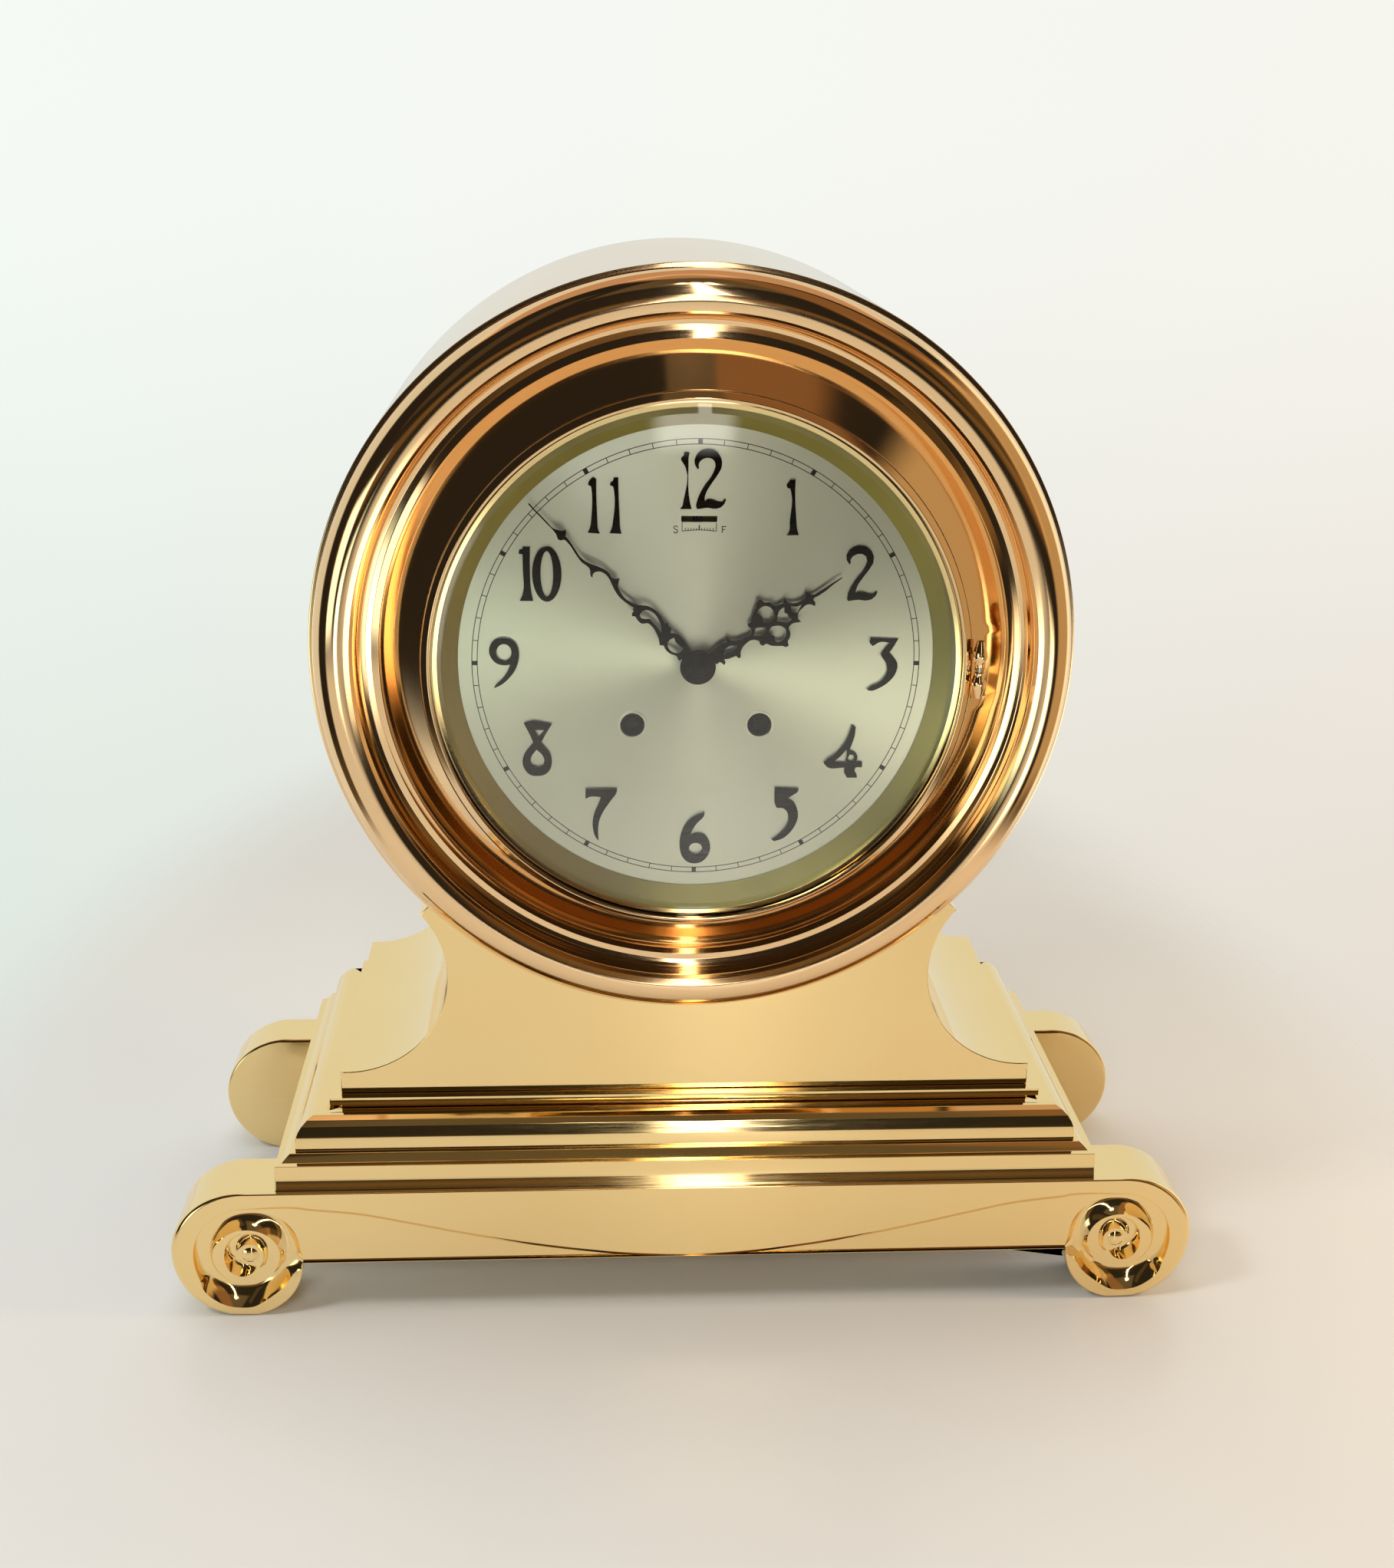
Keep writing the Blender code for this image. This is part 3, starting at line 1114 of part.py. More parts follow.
def strike_train():
    ends = (FRONT_PLATE_BACK + GAP, BACK_PLATE_FRONT - GAP)
    front = SECOND_WHEEL_FRONT + 2.5 * MM
    disc = (circle(PIN_CIRCLE + 2.5 * MM, MEDIUM_STEPS, *PIN_WHEEL_PLACE), front, front + WHEEL_THICKNESS)
    leaves = tooth_outline(LEAVES, GREAT_MODULE, toward(PIN_WHEEL_PLACE, STRIKE_ARBOR), True, *PIN_WHEEL_PLACE)
    pinion = (leaves, BARREL_BACK, BARREL_BACK + 3.4 * MM)
    pins = [
        rod(PIN_RADIUS, front - 2.5 * MM, front + WHEEL_THICKNESS / 2, x, z, 6)
        for x, z in circle(PIN_CIRCLE, PIN_COUNT, *PIN_WHEEL_PLACE)
    ]
    return train_wheel("strike_pin_wheel", PIN_WHEEL_PLACE, disc, pinion, ends, extra=pins)


def motion_work():
    cannon_leaves = tooth_outline(CANNON_LEAVES, MOTION_MODULE, MINUTE_WHEEL_DIRECTION)
    tube = [(CANNON_BORE, MINUTE_HAND_FRONT - GAP), (CANNON_RADIUS, MINUTE_HAND_FRONT - GAP)]
    tube += [(CANNON_RADIUS, CANNON_BACK - GAP), (CANNON_BORE, CANNON_BACK - GAP)]
    pipe = turned(tube, SMALL_STEPS, place=drum_point(0.0, 0.0, 0.0))
    leaves = drum_plate([cannon_leaves, circle(CANNON_BORE, SMALL_STEPS)], MINUTE_WHEEL_FRONT, CANNON_BACK - GAP)
    cannon = keep(joined(pipe, leaves), "cannon_pinion", "polished_steel")

    bore = CANNON_RADIUS + 2 * GAP
    section = [(bore, HOUR_HAND_FRONT - GAP), (HOUR_PIPE_RADIUS, HOUR_HAND_FRONT - GAP)]
    section += [(HOUR_PIPE_RADIUS, HOUR_WHEEL_FRONT + WHEEL_THICKNESS), (bore, HOUR_WHEEL_FRONT + WHEEL_THICKNESS)]
    hour_pipe = turned(section, SMALL_STEPS, place=drum_point(0.0, 0.0, 0.0))
    teeth = tooth_outline(HOUR_TEETH, HOUR_MODULE, MINUTE_WHEEL_DIRECTION)
    disc = drum_plate([teeth, circle(bore, SMALL_STEPS)], HOUR_WHEEL_FRONT, HOUR_WHEEL_FRONT + WHEEL_THICKNESS)
    hour = keep(joined(hour_pipe, disc), "hour_wheel", "movement_brass")

    back_way = MINUTE_WHEEL_DIRECTION + 180
    place = MINUTE_WHEEL_PLACE
    wheel_back = MINUTE_WHEEL_FRONT + WHEEL_THICKNESS
    blanks = [
        drum_plate([tooth_outline(MINUTE_TEETH, MOTION_MODULE, back_way, True, *place)], MINUTE_WHEEL_FRONT, wheel_back),
        drum_plate(
            [tooth_outline(LEAVES, HOUR_MODULE, back_way, True, *place)],
            HOUR_WHEEL_FRONT - GAP,
            MINUTE_WHEEL_FRONT + GAP,
        ),
    ]
    stem = arbor([(PIVOT_RADIUS, HOUR_WHEEL_FRONT - 3 * GAP, FRONT_PLATE_BACK)], *place, HOLE_POINTS)
    minute_wheel = keep(joined(stem, *blanks), "minute_wheel", "movement_brass")
    return cannon, hour, minute_wheel


def escapement():
    ends = (FRONT_PLATE_BACK + GAP, BACK_PLATE_FRONT - GAP)
    leaves = tooth_outline(LEAVES, THIRD_MODULE, toward(ESCAPE_PLACE, THIRD_PLACE), True, *ESCAPE_PLACE)
    blank = drum_plate([leaves], THIRD_WHEEL_FRONT - 1.5 * MM, THIRD_WHEEL_FRONT + 3.0 * MM)
    plane = BACK_PLATE_BACK + 4.0 * MM
    wheel_outline = saw_outline(ESCAPE_TEETH, ESCAPE_RADIUS, 2.4 * MM, *ESCAPE_PLACE)
    wheel = drum_plate([wheel_outline], plane, plane + 1.2 * MM)
    sizes = [(PIVOT_RADIUS, ends[0] - PLATE_THICKNESS + GAP, ends[0]), (ARBOR_RADIUS, ends[0], ends[1])]
    sizes += [(PIVOT_RADIUS, ends[1], COCK_DEPTH + 1.7 * MM)]
    escape = keep(joined(arbor(sizes, *ESCAPE_PLACE, HOLE_POINTS), blank, wheel), "escape_wheel", "movement_brass")

    to_wheel = toward(PALLET_PLACE, ESCAPE_PLACE)
    to_balance = toward(PALLET_PLACE, BALANCE_PLACE)
    arm, waist, fork = 7.0 * MM, 2.5 * MM, 10.5 * MM
    turns = ((-88, waist), (-69, arm), (-56, arm), (0, waist), (56, arm), (69, arm), (88, waist))
    lever_outline = [along(PALLET_PLACE, to_wheel + turn, reach) for turn, reach in turns]
    lever_outline += [along(PALLET_PLACE, to_balance + turn, fork) for turn in (-8, 8)]
    lever = drum_plate([lever_outline], plane, plane + 1.2 * MM)
    sizes = [(PIVOT_RADIUS, BACK_PLATE_FRONT + GAP, COCK_DEPTH + 1.7 * MM)]
    pallets = keep(joined(arbor(sizes, *PALLET_PLACE, HOLE_POINTS), lever), "pallet_lever", "polished_steel")

    rim_front = BACK_PLATE_BACK + 9.0 * MM
    rim = [circle(BALANCE_RADIUS, MEDIUM_STEPS, *BALANCE_PLACE)]
    rim += [half_moon(BALANCE_PLACE, BALANCE_RADIUS - 2.2 * MM, 1.3 * MM, side) for side in (-1, 1)]
    wheel = drum_plate(rim, rim_front, rim_front + 2.0 * MM)
    sizes = [(PIVOT_RADIUS, BACK_PLATE_FRONT + GAP, BACK_PLATE_BACK + 1.0 * MM)]
    sizes += [(2.0 * MM, BACK_PLATE_BACK + 1.0 * MM, COCK_DEPTH - 0.8 * MM)]
    sizes += [(PIVOT_RADIUS, COCK_DEPTH - 0.8 * MM, COCK_DEPTH + 1.7 * MM)]
    balance = keep(joined(arbor(sizes, *BALANCE_PLACE, HOLE_POINTS), wheel), "balance_wheel", "movement_brass")

    keep(hairspring(COCK_DEPTH - 1.6 * MM), "hairspring", "blued_spring_steel")
    cock_outline = [(-25.0, 50.0), (-20.0, 57.5), (20.0, 56.5), (36.0, 36.0), (34.0, 27.0), (26.0, 28.0)]
    cock_outline += [(-13.0, 35.0), (-24.0, 44.0)]
    outline = [(x * MM, z * MM) for x, z in cock_outline]
    holes = plate_holes([hole(PIVOT_RADIUS, place) for place in (ESCAPE_PLACE, PALLET_PLACE, BALANCE_PLACE)])
    bridge = drum_plate([outline] + holes, COCK_DEPTH, COCK_DEPTH + 2.0 * MM)
    feet = [
        rod(3.2 * MM, BACK_PLATE_BACK + GAP, COCK_DEPTH + 1.0 * MM, x * MM, z * MM, HOLE_POINTS)
        for x, z in ((-20.3, 51.0), (31.0, 32.0))
    ]
    keep(joined(bridge, *feet), "balance_cock", "movement_brass")
    return escape, pallets, balance


def half_moon(place, radius, half_arm, side):
    """One of the two openings between a balance's rim and its arm."""
    points = []
    start = math.asin(half_arm / radius)
    for number in range(7):
        angle = start + (math.pi - 2 * start) * number / 6
        points.append((place[0] + radius * math.cos(angle), place[1] + side * radius * math.sin(angle)))
    return points


def hairspring(depth):
    """A flat spiral in one unbroken strip, from beside the balance's staff out to the cock."""
    curve = bpy.data.curves.new("hairspring", "CURVE")
    curve.dimensions = "3D"
    curve.bevel_depth = 0.3 * MM
    curve.bevel_resolution = 0
    curve.use_fill_caps = True
    spline = curve.splines.new("POLY")
    count = HAIRSPRING_TURNS * SPRING_STEPS
    spline.points.add(count)
    for number, point in enumerate(spline.points):
        share = number / count
        angle = share * HAIRSPRING_TURNS * math.tau
        radius = (2.8 + 5.2 * share) * MM
        x = BALANCE_PLACE[0] + radius * math.cos(angle)
        z = BALANCE_PLACE[1] + radius * math.sin(angle)
        point.co = (*drum_point(x, depth, z), 1.0)
    obj = bpy.data.objects.new("hairspring", curve)
    PARTS.objects.link(obj)
    return obj


def regulator_lever():
    x, z = REGULATOR_PLACE
    front, back = 3.2 * MM, 4.4 * MM
    index_z = (SLOT_LOW + SLOT_HIGH) / 2
    top = index_z + INDEX_RADIUS
    outline = [(x - 3.4 * MM, z - 2.0 * MM), (x + 3.4 * MM, z - 2.0 * MM), (x + 3.4 * MM, z + 2.5 * MM)]
    outline += [(x + 1.5 * MM, top), (x - 1.5 * MM, top), (x - 3.4 * MM, z + 2.5 * MM)]
    bar = drum_plate([outline], front, back)
    pin = arbor([(ARBOR_RADIUS, front + GAP, FRONT_PLATE_BACK)], x, z, HOLE_POINTS)
    index = rod(INDEX_RADIUS, GAP, front + GAP, x, index_z, HOLE_POINTS)
    return keep(joined(bar, pin, index), "regulator_lever", "bronzed_steel")


def hammer_head_place():
    """The hammer's head stands off the bell's rim, below the hammer's arbor."""
    distance = BELL_RADIUS + HAMMER_HEAD_REST + HAMMER_HEAD_RADIUS
    direction = 176.0
    return along((BELL_X, BELL_Z), direction, distance)


def hammer():
    place = HAMMER_PLACE
    plane = SECOND_WHEEL_FRONT
    tail_way = toward(place, PIN_WHEEL_PLACE)
    tail_length = math.dist(place, PIN_WHEEL_PLACE) - PIN_CIRCLE - PIN_RADIUS - 2 * GAP
    arm_plane = BACK_PLATE_BACK + 3.0 * MM
    body = arbor([(ARBOR_RADIUS, FRONT_PLATE_FRONT + GAP, arm_plane + 3.0 * MM)], *place)
    tail = strip(place, along(place, tail_way, tail_length), 2.6 * MM, plane, plane + 2.0 * MM)
    head_x, head_z = hammer_head_place()
    arm = strip(place, (head_x, head_z), 4.0 * MM, arm_plane, arm_plane + 2.0 * MM)
    head = rod(HAMMER_HEAD_RADIUS, arm_plane + 1.0 * MM, BELL_RIM + 8.0 * MM, head_x, head_z)
    return keep(joined(body, tail, arm, head), "hammer", "polished_steel")


def strip(start, end, width, front, back):
    """A straight lever from one place to another."""
    way = toward(start, end)
    half = width / 2
    outline = [along(start, way + 90, half), along(start, way - 90, half)]
    outline += [along(end, way - 90, half), along(end, way + 90, half)]
    return drum_plate([outline], front, back)


def bell():
    wall = BELL_WALL
    neck = SPIGOT_RADIUS + 2 * GAP
    outer = [(neck, BELL_CROWN), (0.4 * BELL_RADIUS, BELL_CROWN), (0.76 * BELL_RADIUS, BELL_CROWN - 4.0 * MM)]
    outer += [(0.94 * BELL_RADIUS, BELL_CROWN - 14.0 * MM), (BELL_RADIUS, BELL_RIM)]
    inner = [(BELL_RADIUS - wall, BELL_RIM), (0.94 * BELL_RADIUS - wall, BELL_CROWN - 15.0 * MM)]
    inner += [(0.76 * BELL_RADIUS - wall, BELL_CROWN - 4.0 * MM - wall), (0.4 * BELL_RADIUS, BELL_CROWN - wall)]
    inner += [(neck, BELL_CROWN - wall)]
    place = drum_point(BELL_X, 0.0, BELL_Z)
    keep(turned(outer + inner, MEDIUM_STEPS, place=place), "bell", "bell_bronze")
    shoulder = BELL_CROWN - wall - GAP
    sizes = [(SPIGOT_RADIUS, BACK_PLATE_FRONT + GAP, BACK_PLATE_BACK + GAP)]
    sizes += [(7.0 * MM, BACK_PLATE_BACK + GAP, BACK_PLATE_BACK + 3.0 * MM)]
    sizes += [(4.0 * MM, BACK_PLATE_BACK + 3.0 * MM, shoulder), (SPIGOT_RADIUS, shoulder, BELL_CROWN + 6.0 * MM)]
    keep(arbor(sizes, BELL_X, BELL_Z), "bell_post", "polished_steel")
    nut_front = BELL_CROWN + GAP
    bore = (SPIGOT_RADIUS + GAP) / math.cos(math.pi / 6)
    nut = [(bore, nut_front), (7.0 * MM, nut_front), (7.0 * MM, nut_front + 4.0 * MM), (bore, nut_front + 4.0 * MM)]
    keep(turned(nut, 6, place=place), "bell_nut", "lacquered_brass")


# Hands

# Millimetres along each hand and to its right, from the arm's root on one side to its root on the other.
MINUTE_HAND_SHAPE = (
    (4.7, 3.3), (7, 3.1), (10.6, 3.8), (13.7, 4.4), (16.2, 4.4), (18.3, 3.7), (19.8, 2.5), (21.2, 4.3),
    (22.8, 4.1), (24.2, 4.8), (24.9, 3.7), (28, 4.8), (30.9, 5.2), (33.8, 4.9), (36.7, 3.6), (39.5, 1.4),
    (42.4, 0.2), (45.1, -0.4), (47.8, -0.2), (50.1, 0.5), (51.8, 1.3), (53, 3), (53.8, 4.4), (54.9, 2.8),
    (56.3, 2.2), (58.8, 2.7), (61.1, 2.5), (63.6, 1.7), (65.9, 0.7), (68.2, -0.3), (70.9, -0.9),
    (73.4, -0.9), (76.5, -0.2), (79.9, 0.6), (82.8, 1.1), (84, 1.1), (84.6, 2.2), (85.9, 3.3), (86.8, 1.9),
    (88.8, 0.5), (90.3, -0.1), (94, -0), (98, 0.2), (102.5, 0.3), (105.4, 0.6), (105.5, 0), (101.9, -0.3),
    (97.8, -0.4), (93.5, -0.6), (89.2, -0.8), (87.2, -1.2), (85.4, -2.1), (84, -1.5), (83.4, -0.3),
    (81.5, -0.2), (78.6, -0.6), (75.9, -1.3), (73.2, -1.9), (70.5, -2.2), (68, -1.8), (66, -2),
    (64.7, -3.1), (63.5, -3.9), (62.4, -3.9), (63.3, -2.9), (63.5, -1.8), (62.3, 0.3), (59.9, 1.2),
    (57.2, 1), (54.1, -0.1), (51, -1.2), (47.9, -1.8), (44.7, -1.7), (41.2, -1.1), (39.6, -0.6),
    (39.8, -1.7), (38.7, -1.9), (38.7, -2.8), (37.8, -4.1), (36.6, -3.2), (35, -3.6), (32.3, -3.5),
    (30.2, -1.4), (27.9, -1.2), (24.8, -1.9), (22.1, -3), (19.4, -4.9), (18, -3.8), (16.1, -4.5),
    (13.6, -4.5), (9.8, -3.3), (8.9, -3.8), (7.6, -3.6), (7.9, -2.9), (6.9, -1.7),
)
MINUTE_HAND_WINDOWS = (
    (
        (35.6, -1.3), (36, 0.3), (35.3, 2.2), (33.2, 3.4), (30.1, 3.6), (27.2, 2.7), (24.7, 1.4),
        (22.6, -0.5), (26.4, 0.2), (28.7, 0.4), (31.2, 0.5), (32, -0.4), (33.1, -1.4), (34.3, -1.8),
    ),
    (
        (17.3, -2), (17.9, -0.1), (17.2, 2.1), (15.5, 1.2), (13.3, 1.1), (10.8, 1.5), (10.4, -0.2),
        (11.6, -2.4), (14, -3.3), (15.8, -3),
    ),
)
HOUR_HAND_SHAPE = (
    (7.5, -2), (11.2, -2.7), (14.9, -3), (16.9, -2.5), (18.1, -4.4), (18.6, -2.2), (20.1, -0.9),
    (22.6, -0.2), (25.3, 0.2), (27.5, 0.5), (29.1, -0.9), (29.2, -1.7), (28.8, -3.4), (29.1, -4.4),
    (30.9, -4.5), (32.3, -6), (34.2, -7.7), (36.6, -9.2), (37.6, -10.9), (39.4, -11.3), (40.1, -10.2),
    (40.6, -9), (42.7, -7.6), (44, -5.1), (45, -4.7), (47.6, -4.2), (49.6, -5.9), (49.5, -3.9),
    (50.2, -2.6), (52.7, -1), (54.9, -0.8), (57.1, -0.9), (58.6, -2.4), (58.8, -3.7), (59.5, -2.5),
    (60.1, -1.1), (60.6, -0.5), (64.5, -0.1), (70.5, -0.2), (76.2, -0.2), (76.2, 0.2), (71.2, 0.6),
    (66.6, 1.3), (61.8, 1.4), (60.7, 1.3), (59.9, 2), (60.2, 3.4), (59.1, 4.8), (57.9, 3), (56, 2.2),
    (54, 2.5), (51.8, 3.1), (50.3, 4.5), (49.8, 6), (50.2, 7.7), (48.8, 7.1), (47.1, 6.4), (45, 6.5),
    (44, 7.1), (43.5, 9.4), (41.9, 11.4), (40.5, 12.2), (39.8, 14.2), (38.4, 14.1), (37.4, 12.9),
    (35.3, 11.6), (32.9, 9.8), (31.6, 8.1), (29.8, 8), (29.1, 6.8), (29.5, 5.3), (28.3, 3.8), (26.5, 2.9),
    (24.1, 3), (21.6, 3.8), (19.8, 5.1), (18.4, 7.2), (17.6, 7.3), (17.1, 5.6), (15.6, 5.3), (13.5, 4.9),
    (11.7, 4), (11.5, 5.7), (10.2, 6.4), (9.9, 5), (9.3, 4), (7.9, 4.3), (7.1, 3.3),
)
HOUR_HAND_WINDOWS = (
    (
        (12.8, 1.8), (14.6, 0.3), (17.1, 0.1), (20.2, 1.8), (19.1, 2.5), (16.5, 3), (14.4, 2.5),
        (12.9, 2.2),
    ),
    (
        (28.7, 1.8), (31.2, -0.7), (33.1, 0), (35.3, 1.7), (32.8, 3.8), (31, 3.3),
    ),
    (
        (35.4, -6.4), (37.3, -7.5), (40.1, -7.3), (41.8, -5.3), (41.9, -2.8), (40.6, -0.7), (38.3, 0.2),
        (36.2, -0.7), (35.8, -2), (36.4, -3.4), (36.1, -4.6),
    ),
    (
        (36, 3.5), (37.4, 2.6), (39.5, 3.1), (41.5, 4.6), (42.4, 6.9), (41.4, 9.2), (39.5, 10.4),
        (37.2, 10.4), (35.9, 9.6), (35.7, 8.6), (36.6, 7.1), (36, 5.8), (35.5, 4.6),
    ),
    (
        (47.2, -2.2), (45.5, -2.3), (43.9, -1.6), (42.4, -0.2), (41, 1.6), (42.5, 2.9), (45, 4.6),
        (47.2, 4.4), (46.6, 3.1), (46.7, 1.4), (45.9, -0),
    ),
    (
        (50, -1), (51.8, 0.4), (54.4, 1), (52.5, 2.1), (50.6, 3.2), (49.4, 1.9), (49.4, 0.4),
    ),
)


def hand_point(angle, length, offset):
    """A point of a hand: a distance along it and another to its right, for its direction from twelve."""
    turn = math.radians(angle)
    x = length * math.sin(turn) + offset * math.cos(turn)
    z = length * math.cos(turn) - offset * math.sin(turn)
    return (x, z)


def hand_shape(angle, scale, shape):
    return [hand_point(angle, length * scale, offset * scale) for length, offset in shape]


def boss_arc(angle, shape):
    """The boss, from the arm's last point round its far side to the arm's first point."""
    start = math.atan2(shape[-1][1], shape[-1][0])
    sweep = math.atan2(shape[0][1], shape[0][0]) - start
    sweep -= math.copysign(math.tau, sweep)
    turns = [start + sweep * number / SMALL_STEPS for number in range(1, SMALL_STEPS)]
    radius = HAND_BOSS_RADIUS
    return [hand_point(angle, radius * math.cos(turn), radius * math.sin(turn)) for turn in turns]


def hand(name, angle, length, shape, windows, bore, front):
    """A pierced hand: its outline with its boss, its windows and the hole at its boss."""
    scale = length / max(point[0] for point in shape)
    outlines = [hand_shape(angle, scale, shape) + boss_arc(angle, shape)]
    outlines += [hand_shape(angle, scale, window) for window in windows]
    outlines.append(circle(bore, SMALL_STEPS))
    return keep(drum_plate(outlines, front, front + HAND_THICKNESS), name, "bronzed_steel")


def hands():
    minute_sizes = (MINUTE_HAND_ANGLE, MINUTE_HAND_LENGTH, MINUTE_HAND_SHAPE, MINUTE_HAND_WINDOWS)
    minute = hand("minute_hand", *minute_sizes, CANNON_RADIUS + GAP, MINUTE_HAND_FRONT)
    hour_sizes = (HOUR_HAND_ANGLE, HOUR_HAND_LENGTH, HOUR_HAND_SHAPE, HOUR_HAND_WINDOWS)
    hour = hand("hour_hand", *hour_sizes, HOUR_PIPE_RADIUS + GAP, HOUR_HAND_FRONT)
    return minute, hour


def hand_nut():
    bore = CANNON_BORE
    back = MINUTE_HAND_FRONT - 2 * GAP
    step = back - 1.0 * MM
    front = back - 2.1 * MM
    floor = MINUTE_HAND_FRONT - HAND_STEM - GAP
    profile = [(0.0, front), (0.7 * NUT_CAP_RADIUS, front), (NUT_CAP_RADIUS, front + 0.5 * MM), (NUT_CAP_RADIUS, step)]
    profile += [(0.9 * NUT_RADIUS, step), (NUT_RADIUS, step + 0.4 * MM), (NUT_RADIUS, back), (bore, back)]
    profile += [(bore, floor), (0.0, floor)]
    return keep(nut_from(profile), "hand_nut", "bronzed_steel")


def nut_from(profile):
    return as_mesh(turned(profile, SMALL_STEPS, closed=False, place=drum_point(0.0, 0.0, 0.0)))


def build():
    front_scroll_rail()
    rear_scroll_rail()
    base_plinth()
    saddle()
    bolts()
    drum_case()
    back_cover()
    front_ring()
    reflector_ring()
    dial()
    movement_plates()
    bell()

    door = pivot("bezel_axis", drum_point(HINGE_X, HINGE_DEPTH, 0.0))
    carry(door, glass_bezel(), bevelled_glass(), glass_retainer(), bezel_hinge())

    second, centre, third = going_train()
    cannon, hour_wheel, minute_wheel = motion_work()
    minute, hour = hands()
    carry(pivot("minute_axis", drum_point(0.0, 0.0, 0.0)), centre, cannon, minute, hand_nut())
    carry(pivot("hour_axis", drum_point(0.0, 0.0, 0.0)), hour_wheel, hour)
    axes = {
        "minute_wheel_axis": (MINUTE_WHEEL_PLACE, [minute_wheel]),
        "second_axis": (SECOND_PLACE, [second]),
        "third_axis": (THIRD_PLACE, [third]),
        "time_barrel_axis": (TIME_ARBOR, barrel_set("time", TIME_ARBOR, SECOND_PLACE, False)),
        "strike_barrel_axis": (STRIKE_ARBOR, barrel_set("strike", STRIKE_ARBOR, PIN_WHEEL_PLACE, True)),
        "time_winding_axis": (TIME_ARBOR, [winding_arbor("time", TIME_ARBOR)]),
        "strike_winding_axis": (STRIKE_ARBOR, [winding_arbor("strike", STRIKE_ARBOR)]),
        "time_click_axis": (TIME_CLICK_PLACE, [click("time", TIME_CLICK_PLACE, TIME_ARBOR)]),
        "strike_click_axis": (STRIKE_CLICK_PLACE, [click("strike", STRIKE_CLICK_PLACE, STRIKE_ARBOR)]),
        "pin_wheel_axis": (PIN_WHEEL_PLACE, [strike_train()]),
        "regulator_axis": (REGULATOR_PLACE, [regulator_lever()]),
        "hammer_axis": (HAMMER_PLACE, [hammer()]),
    }
    escape, pallets, balance = escapement()
    axes["escape_axis"] = (ESCAPE_PLACE, [escape])
    axes["pallet_axis"] = (PALLET_PLACE, [pallets])
    axes["balance_axis"] = (BALANCE_PLACE, [balance])
    for name, ((x, z), pieces) in axes.items():
        carry(pivot(name, drum_point(x, 0.0, z)), *pieces)

    for obj in PARTS.objects:
        if obj.type == "MESH":
            obj.data.shade_smooth()
            obj.data.set_sharp_from_angle(angle=math.radians(30))


clear_scene()
PARTS = new_collection("pedestal_clock")
CUTTERS = new_collection("cutters")
build()
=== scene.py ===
"""The pedestal clock as photographed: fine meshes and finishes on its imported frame.

Lengths in the tables are millimetres. x runs to the right of the dial's centre.
z runs up from the ground, or on the dial and the hands up from the dial's centre.
d is the depth behind the dial's face.
"""
import math

import bmesh
import bpy
from mathutils import Matrix, Vector
from mathutils.geometry import delaunay_2d_cdt


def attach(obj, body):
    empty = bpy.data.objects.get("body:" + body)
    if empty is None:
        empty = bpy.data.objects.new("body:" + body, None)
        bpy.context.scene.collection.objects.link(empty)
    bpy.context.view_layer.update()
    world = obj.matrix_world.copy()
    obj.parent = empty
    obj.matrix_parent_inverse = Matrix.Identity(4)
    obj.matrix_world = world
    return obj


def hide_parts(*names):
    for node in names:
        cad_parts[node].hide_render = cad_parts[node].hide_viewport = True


for name in ("Cube", "Camera", "Light"):
    if name in bpy.data.objects:
        bpy.data.objects.remove(bpy.data.objects[name], do_unlink=True)

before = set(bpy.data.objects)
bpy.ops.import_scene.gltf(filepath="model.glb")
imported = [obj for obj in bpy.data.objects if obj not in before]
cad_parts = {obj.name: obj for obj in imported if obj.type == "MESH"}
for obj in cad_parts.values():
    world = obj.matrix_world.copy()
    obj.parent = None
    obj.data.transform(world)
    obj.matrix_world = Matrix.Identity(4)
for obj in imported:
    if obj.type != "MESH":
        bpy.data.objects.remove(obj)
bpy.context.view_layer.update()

MM = 0.001
DIAL_Y = -84.4
AXIS_Z = 331.7
ROUND = 192


# Finishes


def linear(code):
    """A colour as the renderer adds it up, from its sRGB hex code."""
    parts = [int(code[i : i + 2], 16) / 255 for i in (1, 3, 5)]
    return tuple(c / 12.92 if c <= 0.04045 else ((c + 0.055) / 1.055) ** 2.4 for c in parts) + (1.0,)


def add(tree, kind, settings=(), links=()):
    """A node with its settings, and links to it as (its socket, the other node, that one's socket)."""
    node = tree.nodes.new("ShaderNode" + kind)
    for key, value in dict(settings).items():
        if isinstance(key, int) or key in node.inputs:
            node.inputs[key].default_value = value
        else:
            setattr(node, key, value)
    for socket, other, output in links:
        tree.links.new(other.outputs[output], node.inputs[socket])
    return node


def new_material(name):
    material = bpy.data.materials.new(name)
    material.use_nodes = True
    tree = material.node_tree
    tree.nodes.clear()
    return material, tree


def out_from_axis(tree, place):
    """The way out from the drum's axis, and the distance from it."""
    axis = {"operation": "SUBTRACT", 1: (0, 0, AXIS_Z * MM)}
    centred = add(tree, "VectorMath", axis, [(0, place, "Object")])
    flat = add(tree, "VectorMath", {"operation": "MULTIPLY", 1: (1, 0, 1)}, [(0, centred, 0)])
    return flat, add(tree, "VectorMath", {"operation": "LENGTH"}, [(0, flat, 0)])


